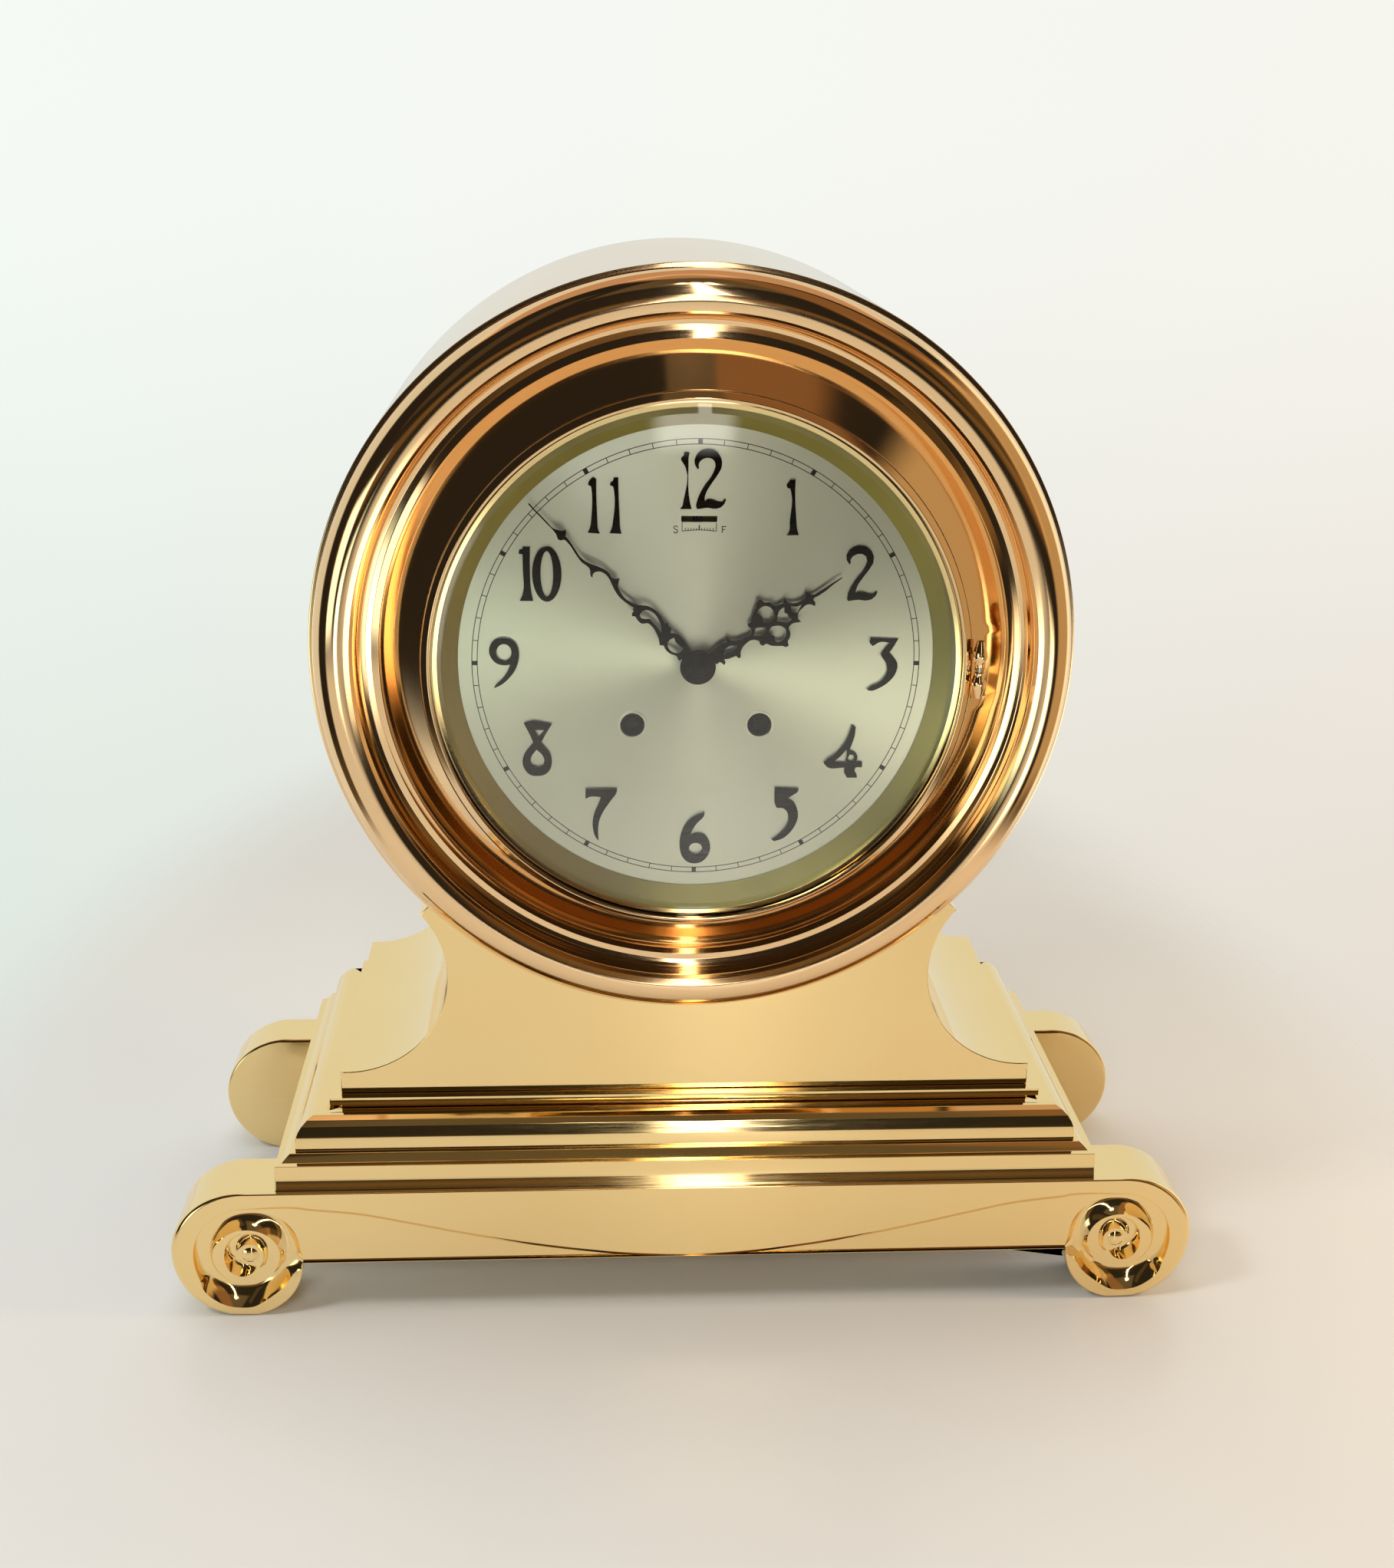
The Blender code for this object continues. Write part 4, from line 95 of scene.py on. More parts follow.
def polished_metal(name, colour, shade, roughness, line_mm, turned=False, coat=0.0, bump=0.05):
    """A polished metal: fine lines left by the mop, faint cloudiness, a slight waviness of the surface.

    line_mm is the spacing of the lines. On a turned piece they run round the drum's axis.
    """
    material, tree = new_material(name)
    place = add(tree, "TexCoord")
    vector, output, stretch = place, "Object", (0.02, 1, 1)
    if turned:
        _, radius = out_from_axis(tree, place)
        parts = add(tree, "SeparateXYZ", (), [(0, place, "Object")])
        vector = add(tree, "CombineXYZ", (), [("X", radius, "Value"), ("Y", parts, "Y")])
        output, stretch = 0, (1, 1, 1)
    mapping = add(tree, "Mapping", {"Scale": stretch}, [("Vector", vector, output)])
    lines = add(tree, "TexNoise", {"Scale": 1 / (line_mm * MM), "Detail": 2}, [("Vector", mapping, 0)])
    clouds = add(tree, "TexNoise", {"Scale": 1 / (60 * MM), "Detail": 4}, [("Vector", place, "Object")])
    waves = add(tree, "TexNoise", {"Scale": 1 / (25 * MM), "Detail": 1}, [("Vector", place, "Object")])
    tones = {"data_type": "RGBA", 6: linear(colour), 7: linear(shade)}
    tone = add(tree, "Mix", tones, [(0, clouds, "Fac")])
    span = {"To Min": roughness * 0.7, "To Max": roughness * 1.4, "From Min": 0.3, "From Max": 0.7}
    rough = add(tree, "MapRange", span, [("Value", lines, "Fac")])
    waved = add(tree, "Bump", {"Strength": 0.02, "Distance": 2 * MM}, [("Height", waves, "Fac")])
    relief = {"Strength": bump, "Distance": 0.02 * MM}
    lined = add(tree, "Bump", relief, [("Height", lines, "Fac"), ("Normal", waved, 0)])
    shader = add(
        tree,
        "BsdfPrincipled",
        {"Metallic": 1.0, "Coat Weight": coat, "Coat Roughness": 0.04},
        [("Base Color", tone, 2), ("Roughness", rough, 0), ("Normal", lined, 0)],
    )
    add(tree, "OutputMaterial", (), [("Surface", shader, 0)])
    return material


# Each metal's colour and a shade of it, its roughness, and the spacing of its lines in millimetres.
METALS = {
    # Cast brass, polished and lacquered: a bright mirror with a faint mop grain, under a clear film.
    "lacquered_brass": ("#FFE3A6", "#FCDC9C", 0.065, 0.5, {"coat": 0.1}),
    # Bronze turned on a lathe, polished and lacquered: rosier, with lines round the axis.
    "rosy_bronze": ("#F8D5A6", "#F2CC9A", 0.065, 0.35, {"turned": True, "coat": 0.1}),
    # Matt gilding on a turned ring: a soft olive gold without a mirror in it.
    "olive_gilt": ("#C0B368", "#AEA15A", 0.4, 0.4, {"turned": True, "bump": 0.25}),
    # Steel under a brown bronzing lacquer: dark, with a soft sheen.
    "bronzed_steel": ("#221B14", "#18130E", 0.3, 0.3, {"bump": 0.1, "coat": 0.08}),
    # Brass plates and wheels, grained with emery sticks.
    "movement_brass": ("#D9BC78", "#CDAE68", 0.2, 0.25, {"bump": 0.2}),
    # Steel arbors, burnished bright.
    "polished_steel": ("#B9BBBD", "#A8AAAD", 0.15, 0.25, {"bump": 0.1}),
    # Spring steel, tempered blue in the fire.
    "blued_spring_steel": ("#27406E", "#1F3057", 0.2, 0.25, {"bump": 0.1}),
    # Bell metal, turned and left bare, a little dulled.
    "bell_bronze": ("#B98F5C", "#A98050", 0.24, 0.4, {"turned": True, "bump": 0.15}),
}


def make_finishes():
    finish = {name: polished_metal(name, *row[:4], **row[4]) for name, row in METALS.items()}
    finish["silvered_brass"] = silvered_brass()
    finish["plate_glass"] = plate_glass()
    finish["black_wax"] = black_wax()
    return finish


def silvered_brass():
    """Brass brushed round its centre, silvered and lacquered: warm grey, with streaks fanning outward."""
    material, tree = new_material("silvered_brass")
    place = add(tree, "TexCoord")
    flat, radius = out_from_axis(tree, place)
    ring = add(tree, "CombineXYZ", (), [("X", radius, "Value")])
    # The brushing is too fine to show, so its rings are drawn 0.5 mm apart.
    brush = add(tree, "TexNoise", {"Scale": 1 / (0.5 * MM), "Detail": 3}, [("Vector", ring, 0)])
    clouds = add(tree, "TexNoise", {"Scale": 1 / (45 * MM), "Detail": 5}, [("Vector", place, "Object")])
    tones = {"data_type": "RGBA", 6: linear("#ECEDDA"), 7: linear("#E0DFCA")}
    tone = add(tree, "Mix", tones, [(0, clouds, "Fac")])
    rough = add(tree, "MapRange", {"To Min": 0.27, "To Max": 0.37}, [("Value", brush, "Fac")])
    bump = add(tree, "Bump", {"Strength": 0.12, "Distance": 0.03 * MM}, [("Height", brush, "Fac")])
    # The highlight spreads across the brushing, so outward from the centre.
    tangent = add(tree, "VectorMath", {"operation": "NORMALIZE"}, [(0, flat, 0)])
    shader = add(
        tree,
        "BsdfPrincipled",
        {"Metallic": 1.0, "Anisotropic": 0.75, "Coat Weight": 0.1, "Coat Roughness": 0.2},
        [("Base Color", tone, 2), ("Roughness", rough, 0), ("Normal", bump, 0), ("Tangent", tangent, 0)],
    )
    add(tree, "OutputMaterial", (), [("Surface", shader, 0)])
    return material


def plate_glass():
    """Soda-lime plate glass, ground and polished, with the faintest unevenness."""
    material, tree = new_material("plate_glass")
    place = add(tree, "TexCoord")
    waves = add(tree, "TexNoise", {"Scale": 1 / (70 * MM), "Detail": 1}, [("Vector", place, "Object")])
    bump = add(tree, "Bump", {"Strength": 0.02, "Distance": 1 * MM}, [("Height", waves, "Fac")])
    shader = add(
        tree,
        "BsdfPrincipled",
        {"Base Color": linear("#FBFDFA"), "Roughness": 0.0, "IOR": 1.52, "Transmission Weight": 1.0},
        [("Normal", bump, 0)],
    )
    add(tree, "OutputMaterial", (), [("Surface", shader, 0)])
    return material


def black_wax():
    """Black wax melted into engraved lines and rubbed flush: dull, with pinholes. It also lines the
    winding holes as painted shade.
    """
    material, tree = new_material("black_wax")
    place = add(tree, "TexCoord")
    grain = add(tree, "TexNoise", {"Scale": 1 / (0.8 * MM), "Detail": 3}, [("Vector", place, "Object")])
    tones = {"data_type": "RGBA", 6: linear("#120E0A"), 7: linear("#241C14")}
    tone = add(tree, "Mix", tones, [(0, grain, "Fac")])
    shader = add(tree, "BsdfPrincipled", {"Roughness": 0.45, "IOR": 1.45}, [("Base Color", tone, 2)])
    add(tree, "OutputMaterial", (), [("Surface", shader, 0)])
    return material


# Curves in a plane


# A corner that turns by more than this, in degrees, stays a corner in a smooth line.
CORNER = 50
# A bend of less than this, in degrees, has no edge for the mop to round.
NEARLY_STRAIGHT = 12


def flowing(points, steps=4, closed=True):
    """A smooth line through the points, which keeps its corners."""
    count = len(points)
    flow = [Vector(p) for p in points]

    def tangent(i):
        if not closed and i in (0, count - 1):
            return None
        before, after = flow[i] - flow[i - 1], flow[(i + 1) % count] - flow[i]
        if before.length < 1e-9 or after.length < 1e-9 or math.degrees(before.angle(after)) > CORNER:
            return None
        return (before / before.length * after.length + after / after.length * before.length) / (
            before.length + after.length
        )

    tangents = [tangent(i) for i in range(count)]
    result = []
    for i in range(count if closed else count - 1):
        start, end = flow[i], flow[(i + 1) % count]
        chord = end - start
        out = tangents[i] * chord.length if tangents[i] else chord
        into = tangents[(i + 1) % count] * chord.length if tangents[(i + 1) % count] else chord
        pieces = steps if tangents[i] or tangents[(i + 1) % count] else 1
        for step in range(pieces):
            t = step / pieces
            result.append(
                start * (1 + 2 * t) * (1 - t) ** 2
                + out * t * (1 - t) ** 2
                + end * t * t * (3 - 2 * t)
                + into * t * t * (t - 1)
            )
    if not closed:
        result.append(flow[-1])
    return [tuple(p) for p in result]


def eased(points, radius=0.3, closed=True):
    """The line with its corners rounded, as the polishing mop leaves them."""
    result = []
    count = len(points)
    for i, point in enumerate(points):
        here = Vector(point)
        if not closed and i in (0, count - 1):
            result.append(here)
            continue
        before, after = Vector(points[i - 1]) - here, Vector(points[(i + 1) % count]) - here
        reach = min(radius, before.length * 0.4, after.length * 0.4)
        if reach < 1e-6 or math.degrees(before.angle(-after)) < NEARLY_STRAIGHT:
            result.append(here)
            continue
        start, end = here + before.normalized() * reach, here + after.normalized() * reach
        for step in range(4):
            t = step / 3
            result.append(start * (1 - t) ** 2 + here * 2 * t * (1 - t) + end * t * t)
    return [tuple(p) for p in result]


def circle(radius, count, x=0.0, z=0.0):
    turns = [math.tau * i / count for i in range(count)]
    return [(x + radius * math.cos(a), z + radius * math.sin(a)) for a in turns]


def mirrored(points):
    """The same line on the other side of the middle, run the other way."""
    return [(-x, z) for x, z in reversed(points)]


def stroke(points, width):
    """The outline of a line drawn with a flat graver of this width."""
    flow = [Vector(p) for p in points]
    left, right = [], []
    for i, point in enumerate(flow):
        along = flow[min(i + 1, len(flow) - 1)] - flow[max(i - 1, 0)]
        side = Vector((-along.y, along.x)).normalized() * width / 2
        left.append(tuple(point + side))
        right.append(tuple(point - side))
    return left + right[::-1]


# Meshes


def mesh_of(bm, name):
    """The mesh of what was built, welded, with its faces turned outward."""
    bmesh.ops.remove_doubles(bm, verts=bm.verts, dist=1e-6)
    bmesh.ops.recalc_face_normals(bm, faces=bm.faces)
    mesh = bpy.data.meshes.new(name)
    bm.to_mesh(mesh)
    bm.free()
    return mesh


def in_scene(name, data):
    thing = bpy.data.objects.new(name, data)
    bpy.context.scene.collection.objects.link(thing)
    return thing


def evaluated(thing):
    """The mesh that an object's modifiers, or its curve's extrusion, come to."""
    bpy.context.view_layer.update()
    graph = bpy.context.evaluated_depsgraph_get()
    return bpy.data.meshes.new_from_object(thing.evaluated_get(graph))


def finished(bm, name, material, body, replaced=(), sharp=32):
    """The piece, shaded smooth but for its real edges, riding on its body."""
    mesh = mesh_of(bm, name)
    mesh.materials.append(FINISH[material])
    mesh.polygons.foreach_set("use_smooth", [True] * len(mesh.polygons))
    mesh.set_sharp_from_angle(angle=math.radians(sharp))
    piece = in_scene(name, mesh)
    # Flat faces stay flat up to their rounded edges.
    even = piece.modifiers.new("even", "WEIGHTED_NORMAL")
    even.weight = 100
    even.keep_sharp = True
    baked(piece)
    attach(piece, body)
    if replaced:
        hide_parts(*replaced)
    return piece


def baked(piece):
    mesh = evaluated(piece)
    piece.modifiers.clear()
    piece.data = mesh


def quads(bm, rows, closed=False):
    """Faces between neighbouring rows of vertices."""
    for low, high in zip(rows, rows[1:]):
        count = len(low) if closed else len(low) - 1
        for i in range(count):
            j = (i + 1) % len(low)
            corners = [low[i], low[j], high[j], high[i]]
            distinct = [v for k, v in enumerate(corners) if (v.co - corners[k - 1].co).length > 1e-9]
            if len(distinct) > 2:
                bm.faces.new(distinct)


def revolve(bm, section, count=ROUND, upright=False, x=0.0, z=AXIS_Z, y=DIAL_Y, closed=True):
    """A section of (radius, depth) turned about the drum's axis, or about an upright one."""
    rows = []
    for number in range(count):
        angle = math.tau * number / count
        row = []
        for radius, depth in section:
            across, along = radius * math.sin(angle), radius * math.cos(angle)
            if upright:
                row.append(bm.verts.new(Vector((x + across, y + along, z + depth)) * MM))
            else:
                row.append(bm.verts.new(Vector((x + across, y + depth, z + along)) * MM))
        rows.append(row)
    rows.append(rows[0])
    if closed:
        for row in rows[:-1]:
            row.append(row[0])
    quads(bm, rows)


def lathe(name, section, material, body, replaced=(), ease=0.3, count=ROUND, sharp=32, **place):
    bm = bmesh.new()
    closed = place.get("closed", True)
    revolve(bm, eased(section, ease, closed=closed), count, **place)
    return finished(bm, name, material, body, replaced, sharp=sharp)


def sheet_of(outlines, front, back, ease, base=AXIS_Z):
    """A mesh cut from plate: outlines in the dial's plane, faces at these depths, eased edges."""
    curve = bpy.data.curves.new("plate", "CURVE")
    curve.dimensions = "2D"
    curve.fill_mode = "BOTH"
    curve.extrude = ((back - front) / 2 - ease) * MM
    curve.bevel_depth = ease * MM
    curve.bevel_resolution = 2 if ease else 0
    curve.offset = -ease * MM
    for outline in outlines:
        spline = curve.splines.new("POLY")
        spline.points.add(len(outline) - 1)
        for point, (x, z) in zip(spline.points, outline):
            point.co = (x * MM, z * MM, 0.0, 1.0)
        spline.use_cyclic_u = True
    holder = in_scene("plate", curve)
    mesh = evaluated(holder)
    place = Matrix.Translation(Vector((0, DIAL_Y + (front + back) / 2, base)) * MM)
    mesh.transform(place @ Matrix.Rotation(math.pi / 2, 4, "X"))
    bpy.data.objects.remove(holder)
    bpy.data.curves.remove(curve)
    return mesh


def plates(name, parts, material, body, replaced=()):
    """One piece of several plates, each (outlines, front, back, ease, base)."""
    bm = bmesh.new()
    for part in parts:
        mesh = sheet_of(*part)
        bm.from_mesh(mesh)
        bpy.data.meshes.remove(mesh)
    return finished(bm, name, material, body, replaced)


FINISH = make_finishes()


# Front scroll rail

EYE = (-215.8, 35.0)
SCROLL_RADII = (33.3, 38.45, 35.3, 25.2, 24.0, 25.4, 24.8)
FOOT_FLAT = 0.5
RAIL_UNDERSIDE = 29.4
RELIEF_D = -13.5
GROUND_D = -12.0
RAIL_BACK_D = 22.0
RAIL_BACK_EDGE = 0.4
# Points as (quarter turns from the top toward the outside, distance from the eye).
RIM_WIDTHS = ((0.0, 0.7), (0.5, 2.4), (1.0, 3.9), (1.5, 3.4), (2.0, 2.6), (2.5, 1.2), (2.9, 0.4))
STEP_LINE = ((-0.54, 38.3), (-0.34, 30.6), (-0.12, 26.4), (0.11, 25.7), (0.37, 26.2), (0.62, 26.8))
GROOVE_OUTER = (
    (0.78, 26.9), (1.0, 27.2), (1.17, 27.6), (1.33, 28.4), (1.46, 30.6), (1.63, 31.2), (1.75, 31.2),
    (1.89, 30.4), (2.02, 29.4), (2.16, 26.9), (2.29, 25.3), (2.5, 24.1), (2.66, 23.6),
)
GROOVE_TURN = (
    (3.0, 24.6), (3.27, 24.7), (3.51, 24.6), (3.7, 24.0), (3.92, 22.6), (4.27, 21.9), (4.55, 20.2),
    (4.83, 19.4), (4.97, 19.2), (5.2, 19.2), (5.4, 18.9), (5.63, 18.6),
)
GROOVE_INNER = (
    (0.78, 26.6), (1.05, 24.8), (1.28, 23.4), (1.46, 21.7), (1.66, 19.8), (1.89, 18.0), (2.14, 17.2),
    (2.41, 16.2), (2.69, 15.0), (2.96, 14.5), (3.24, 13.7), (3.52, 12.95), (3.8, 12.5), (4.06, 12.8),
    (4.3, 13.7), (4.63, 15.3), (4.83, 17.2), (5.0, 18.2), (5.19, 18.7), (5.34, 18.6), (5.63, 18.5),
)
GROOVE_FADE = (
    (0.78, 1.0), (2.2, 1.0), (2.6, 0.75), (2.85, 0.5), (3.2, 0.6), (3.8, 0.9), (5.0, 1.0), (5.63, 1.0),
)
# How far across it the groove is deepest, from its outer line.
GROOVE_BED = (
    (0.78, 0.6), (1.6, 0.7), (2.0, 0.78), (2.5, 0.78), (3.0, 0.6), (3.5, 0.3), (4.0, 0.18), (4.6, 0.2),
    (5.63, 0.4),
)
PIT_OUTER = (
    (4.18, 11.4), (4.49, 11.9), (4.69, 11.9), (4.95, 12.3), (5.15, 12.9), (5.4, 14.0), (5.55, 14.6),
    (5.7, 14.4), (5.84, 13.6), (5.98, 12.0), (6.1, 10.2), (6.22, 8.4),
)
PIT_INNER = (
    (4.18, 11.3), (4.49, 11.2), (4.69, 10.7), (4.84, 9.8), (5.08, 7.8), (5.38, 6.2), (5.69, 6.2),
    (5.98, 6.7), (6.22, 8.2),
)
EYE_PIT_OUTER = (
    (2.3, 9.2), (2.48, 9.5), (2.85, 8.9), (3.14, 9.1), (3.49, 10.2), (3.78, 10.9), (4.04, 10.7),
    (4.25, 9.8), (4.57, 8.0), (4.85, 6.6),
)
EYE_PIT_INNER = (
    (2.3, 9.0), (2.48, 8.1), (2.85, 6.6), (3.14, 6.0), (3.49, 5.2), (4.04, 4.8), (4.57, 5.4), (4.85, 6.2),
)
# A gouge's cut is as deep as this share of its width, and never deeper than its piece allows.
GOUGE_DEPTH = 0.7
GROOVE_DEEPEST = 6.0
PIT_DEEPEST = 5.5
# The quarter turns over which the relief sinks to the ground, before the land's tip.
RELIEF_FADE = 0.25
# Its middle from the eye, its radius, how far its foot lies behind the ground, and how far it stands up.
EYE_BALL = (0.1, -1.0, 6.9, 5.0, 6.2)
COVE_HEIGHT = 2.1
COVE_END_HEIGHT = 0.4
APRON = (
    (-187.0, 60.2), (-160.0, 56.9), (-150.0, 54.8), (-140.0, 52.4), (-130.0, 50.1), (-120.0, 47.7),
    (-110.0, 45.4), (-100.0, 43.2), (-90.0, 41.1), (-80.0, 39.2), (-70.0, 37.5), (-60.0, 35.9),
    (-50.0, 34.5), (-40.0, 33.2), (-30.0, 32.2), (-20.0, 31.4), (-10.0, 30.9), (0.0, 30.7),
)


def between(table, at):
    """A smooth value of a table at a place on its first column."""
    places = [row[0] for row in table]
    at = min(max(at, places[0]), places[-1])
    k = max(i for i in range(len(table) - 1) if places[i] <= at)

    def slope(i):
        low, high = max(i - 1, 0), min(i + 1, len(table) - 1)
        return (table[high][1] - table[low][1]) / (table[high][0] - table[low][0])

    width = table[k + 1][0] - table[k][0]
    t = (at - places[k]) / width
    return (
        table[k][1] * (1 + 2 * t) * (1 - t) ** 2
        + slope(k) * width * t * (1 - t) ** 2
        + table[k + 1][1] * t * t * (3 - 2 * t)
        + slope(k + 1) * width * t * t * (t - 1)
    )


def from_eye(quarter, radius):
    angle = quarter * math.pi / 2
    return (EYE[0] - radius * math.sin(angle), EYE[1] + radius * math.cos(angle))


def traced(table, quarters):
    """A line round the eye, at the table's distance for each quarter turn."""
    return [from_eye(q, between(table, q)) for q in quarters]


def spread(low, high, step):
    count = max(2, math.ceil((high - low) / step))
    return [low + (high - low) * i / count for i in range(count + 1)]


def silhouette(fine=0.02):
    """The left scroll's outer edge, from the rail's top to its underside."""
    scroll = tuple(enumerate(SCROLL_RADII))
    points = []
    for quarter in spread(0.0, 3.0, fine):
        x, z = from_eye(quarter, between(scroll, quarter))
        if quarter > 2.5 and z > RAIL_UNDERSIDE:
            break
        points.append((quarter, x, z if z > FOOT_FLAT else 0.0))
    points.append((quarter, points[-1][1] + 0.05, RAIL_UNDERSIDE))
    return points


def beside(points, widths, closed=False):
    """A line moved to its own left by a width at each point."""
    last = len(points) - 1
    result = []
    for i, (x, z) in enumerate(points):
        ahead = points[(i + 1) % (last + 1) if closed else min(i + 1, last)]
        behind = points[i - 1 if closed else max(i - 1, 0)]
        along = Vector((ahead[0] - behind[0], ahead[1] - behind[1])).normalized()
        result.append((x - along.y * widths[i], z + along.x * widths[i]))
    return result


def vertex(bm, x, depth, z):
    return bm.verts.new(Vector((x, DIAL_Y + depth, z)) * MM)


def flat_faces(bm, outline, depths, holes=()):
    """Triangles that fill an outline with holes, with each point at its own depth."""
    points, edges = [], []
    for ring in (outline, *holes):
        start = len(points)
        points += [Vector(p) for p in ring]
        edges += [(start + i, start + (i + 1) % len(ring)) for i in range(len(ring))]
    level = list(depths) + [GROUND_D] * (len(points) - len(depths))
    verts, _, faces, origin, _, _ = delaunay_2d_cdt(points, edges, [], 1, 1e-5)
    made = []
    for point, sources in zip(verts, origin):
        depth = level[sources[0]] if sources else GROUND_D
        made.append(vertex(bm, point.x, depth, point.y))
    for face in faces:
        middle = sum((verts[i] for i in face), Vector((0, 0))) / 3
        if not any(inside(middle, hole) for hole in holes):
            bm.faces.new([made[i] for i in face])


def inside(point, ring):
    odd = False
    for (ax, az), (bx, bz) in zip(ring, list(ring[1:]) + [ring[0]]):
        if (az > point.y) != (bz > point.y) and point.x < (bx - ax) * (point.y - az) / (bz - az) + ax:
            odd = not odd
    return odd


def gouged(bm, outer, inner, side, tops, beds, fades, deepest):
    """A hollow between two lines, as a round gouge cuts it, deepest at its bed."""
    rows = []
    for a, b, top, bed, fade in zip(outer, inner, tops, beds, fades):
        start, end = Vector(a), Vector(b)
        depth = min((end - start).length * GOUGE_DEPTH, deepest) * fade
        row = []
        for step in range(19):
            angle = math.pi * step / 18
            reach = bed if angle < math.pi / 2 else 1 - bed
            u = bed - math.cos(angle) * reach
            x, z = start.lerp(end, u)
            level = top + (GROUND_D - top) * u + depth * math.sin(angle) ** 2
            row.append(vertex(bm, side * x, level, z))
        rows.append(row)
    quads(bm, rows)


def front_rail():
    edge = silhouette()
    rim = [between(RIM_WIDTHS, q) for q, _, _ in edge]
    left = [(x, z) for _, x, z in edge]
    outline = left + mirrored(left)
    widths = rim + rim[::-1]
    rims = beside(outline, widths, closed=True)
    rims_left = rims[: len(left)]
    tip = rims_left[-1]
    tip_quarter = 2 + math.atan2(tip[0] - EYE[0], EYE[1] - tip[1]) / (math.pi / 2)
    tip_radius = math.dist(tip, EYE)
    outer_table = GROOVE_OUTER + ((tip_quarter, tip_radius),) + GROOVE_TURN
    quarters = spread(GROOVE_OUTER[0][0], tip_quarter, 0.03)
    quarters += spread(tip_quarter, GROOVE_TURN[-1][0], 0.03)[1:]
    outer = traced(outer_table, quarters)
    inner = traced(GROOVE_INNER, quarters)
    inner[-1] = outer[-1]
    tops = []
    for q in quarters:
        share = min(max((q - tip_quarter + RELIEF_FADE) / RELIEF_FADE, 0.0), 1.0)
        tops.append(RELIEF_D + (GROUND_D - RELIEF_D) * share)
    cut = quarters.index(tip_quarter)
    step_table = STEP_LINE + GROOVE_OUTER[:1]
    step = traced(step_table, spread(step_table[0][0], step_table[-1][0], 0.04)[1:])
    apron = flowing(APRON, 3, closed=False)
    ridge = apron[::-1] + step
    narrowing = (COVE_END_HEIGHT - COVE_HEIGHT) / len(step)
    taper = [COVE_HEIGHT] * len(apron) + [COVE_HEIGHT + narrowing * (i + 1) for i in range(len(step))]
    foot = beside(ridge, taper)
    foot[0] = (0.0, ridge[0][1] - COVE_HEIGHT)

    beds = [between(GROOVE_BED, q) for q in quarters]
    fades = [between(GROOVE_FADE, q) for q in quarters]
    bm = bmesh.new()
    for side in (1, -1):
        gouged(bm, outer, inner, side, tops, beds, fades, GROOVE_DEEPEST)
        rows = []
        for top, low in zip(ridge + outer[:1], foot + inner[:1]):
            row = []
            for share in (0.0, 0.5, 1.0):
                x, z = Vector(top).lerp(Vector(low), share)
                depth = RELIEF_D + (GROUND_D - RELIEF_D) * share
                row.append(vertex(bm, side * x, depth, z))
            rows.append(row)
        quads(bm, rows)
    pits = []
    hollows = ((PIT_OUTER, PIT_INNER, 0.55), (EYE_PIT_OUTER, EYE_PIT_INNER, 0.6))
    for outer_line, inner_line, bed in hollows:
        turns = spread(outer_line[0][0], outer_line[-1][0], 0.05)
        far, near = traced(outer_line, turns), traced(inner_line, turns)
        near[0], near[-1] = far[0], far[-1]
        count = len(turns)
        for side in (1, -1):
            gouged(bm, far, near, side, [GROUND_D] * count, [bed] * count, [1.0] * count, PIT_DEEPEST)
            pits.append([(side * x, z) for x, z in far + near[-2:0:-1]])

    land = rims_left[::-1] + mirrored(rims_left[::-1])
    ribbon = land + mirrored(outer[:cut]) + mirrored(ridge) + ridge[1:] + outer[:cut]
    depths = [RELIEF_D] * len(land) + tops[:cut][::-1]
    depths += [RELIEF_D] * (2 * len(ridge) - 1) + tops[:cut]
    depths[0] = depths[len(land) - 1] = tops[cut]
    flat_faces(bm, ribbon, depths)

    ground_left = [tip] + outer[cut + 1 :] + inner[-2::-1] + foot[::-1]
    ground = ground_left[:-1] + mirrored(ground_left)
    flat_faces(bm, ground, [GROUND_D] * len(ground), pits)

    rows = []
    steps = 6
    for number in range(steps + 1):
        angle = math.pi / 2 * number / steps
        row = []
        for point, rim_point, width in zip(outline, rims, widths):
            x, z = Vector(rim_point).lerp(Vector(point), math.sin(angle))
            depth = RELIEF_D + width * (1 - math.cos(angle))
            row.append(vertex(bm, x, depth, z))
        rows.append(row)
    back = []
    for d, shrink in ((RAIL_BACK_D - RAIL_BACK_EDGE, 0.0), (RAIL_BACK_D, RAIL_BACK_EDGE)):
        line = beside(outline, [shrink] * len(outline), closed=True)
        back.append([vertex(bm, x, d, z) for x, z in line])
    rows += back
    quads(bm, rows, closed=True)
    bm.faces.new(rows[-1])
    bmesh.ops.triangulate(bm, faces=[f for f in bm.faces if len(f.verts) > 4])
    x, z, radius, foot_depth, rise = EYE_BALL
    turns = [math.pi / 2 * i / 12 for i in range(13)]
    ball = [(radius * math.sin(a), foot_depth - rise * math.cos(a)) for a in turns]
    for side in (1, -1):
        revolve(bm, ball, 48, x=side * (EYE[0] + x), z=EYE[1] + z, y=DIAL_Y + GROUND_D, closed=False)
    return finished(bm, "front_rail_casting", "lacquered_brass", "case", ["front_scroll_rail"], sharp=35)


front_rail()


# Rear scroll rail

REAR_RAIL_FRONT_D = 154.8
REAR_RAIL_BACK_D = 183.3
REAR_RAIL_ROUNDING = 1.6


def rear_rail():
    edge = [(x, z) for _, x, z in silhouette(0.03)]
    outline = edge + mirrored(edge)
    part = ([outline], REAR_RAIL_FRONT_D, REAR_RAIL_BACK_D, REAR_RAIL_ROUNDING, 0.0)
    plates("rear_rail_casting", [part], "lacquered_brass", "case", ["rear_scroll_rail"])


rear_rail()


# Plinth

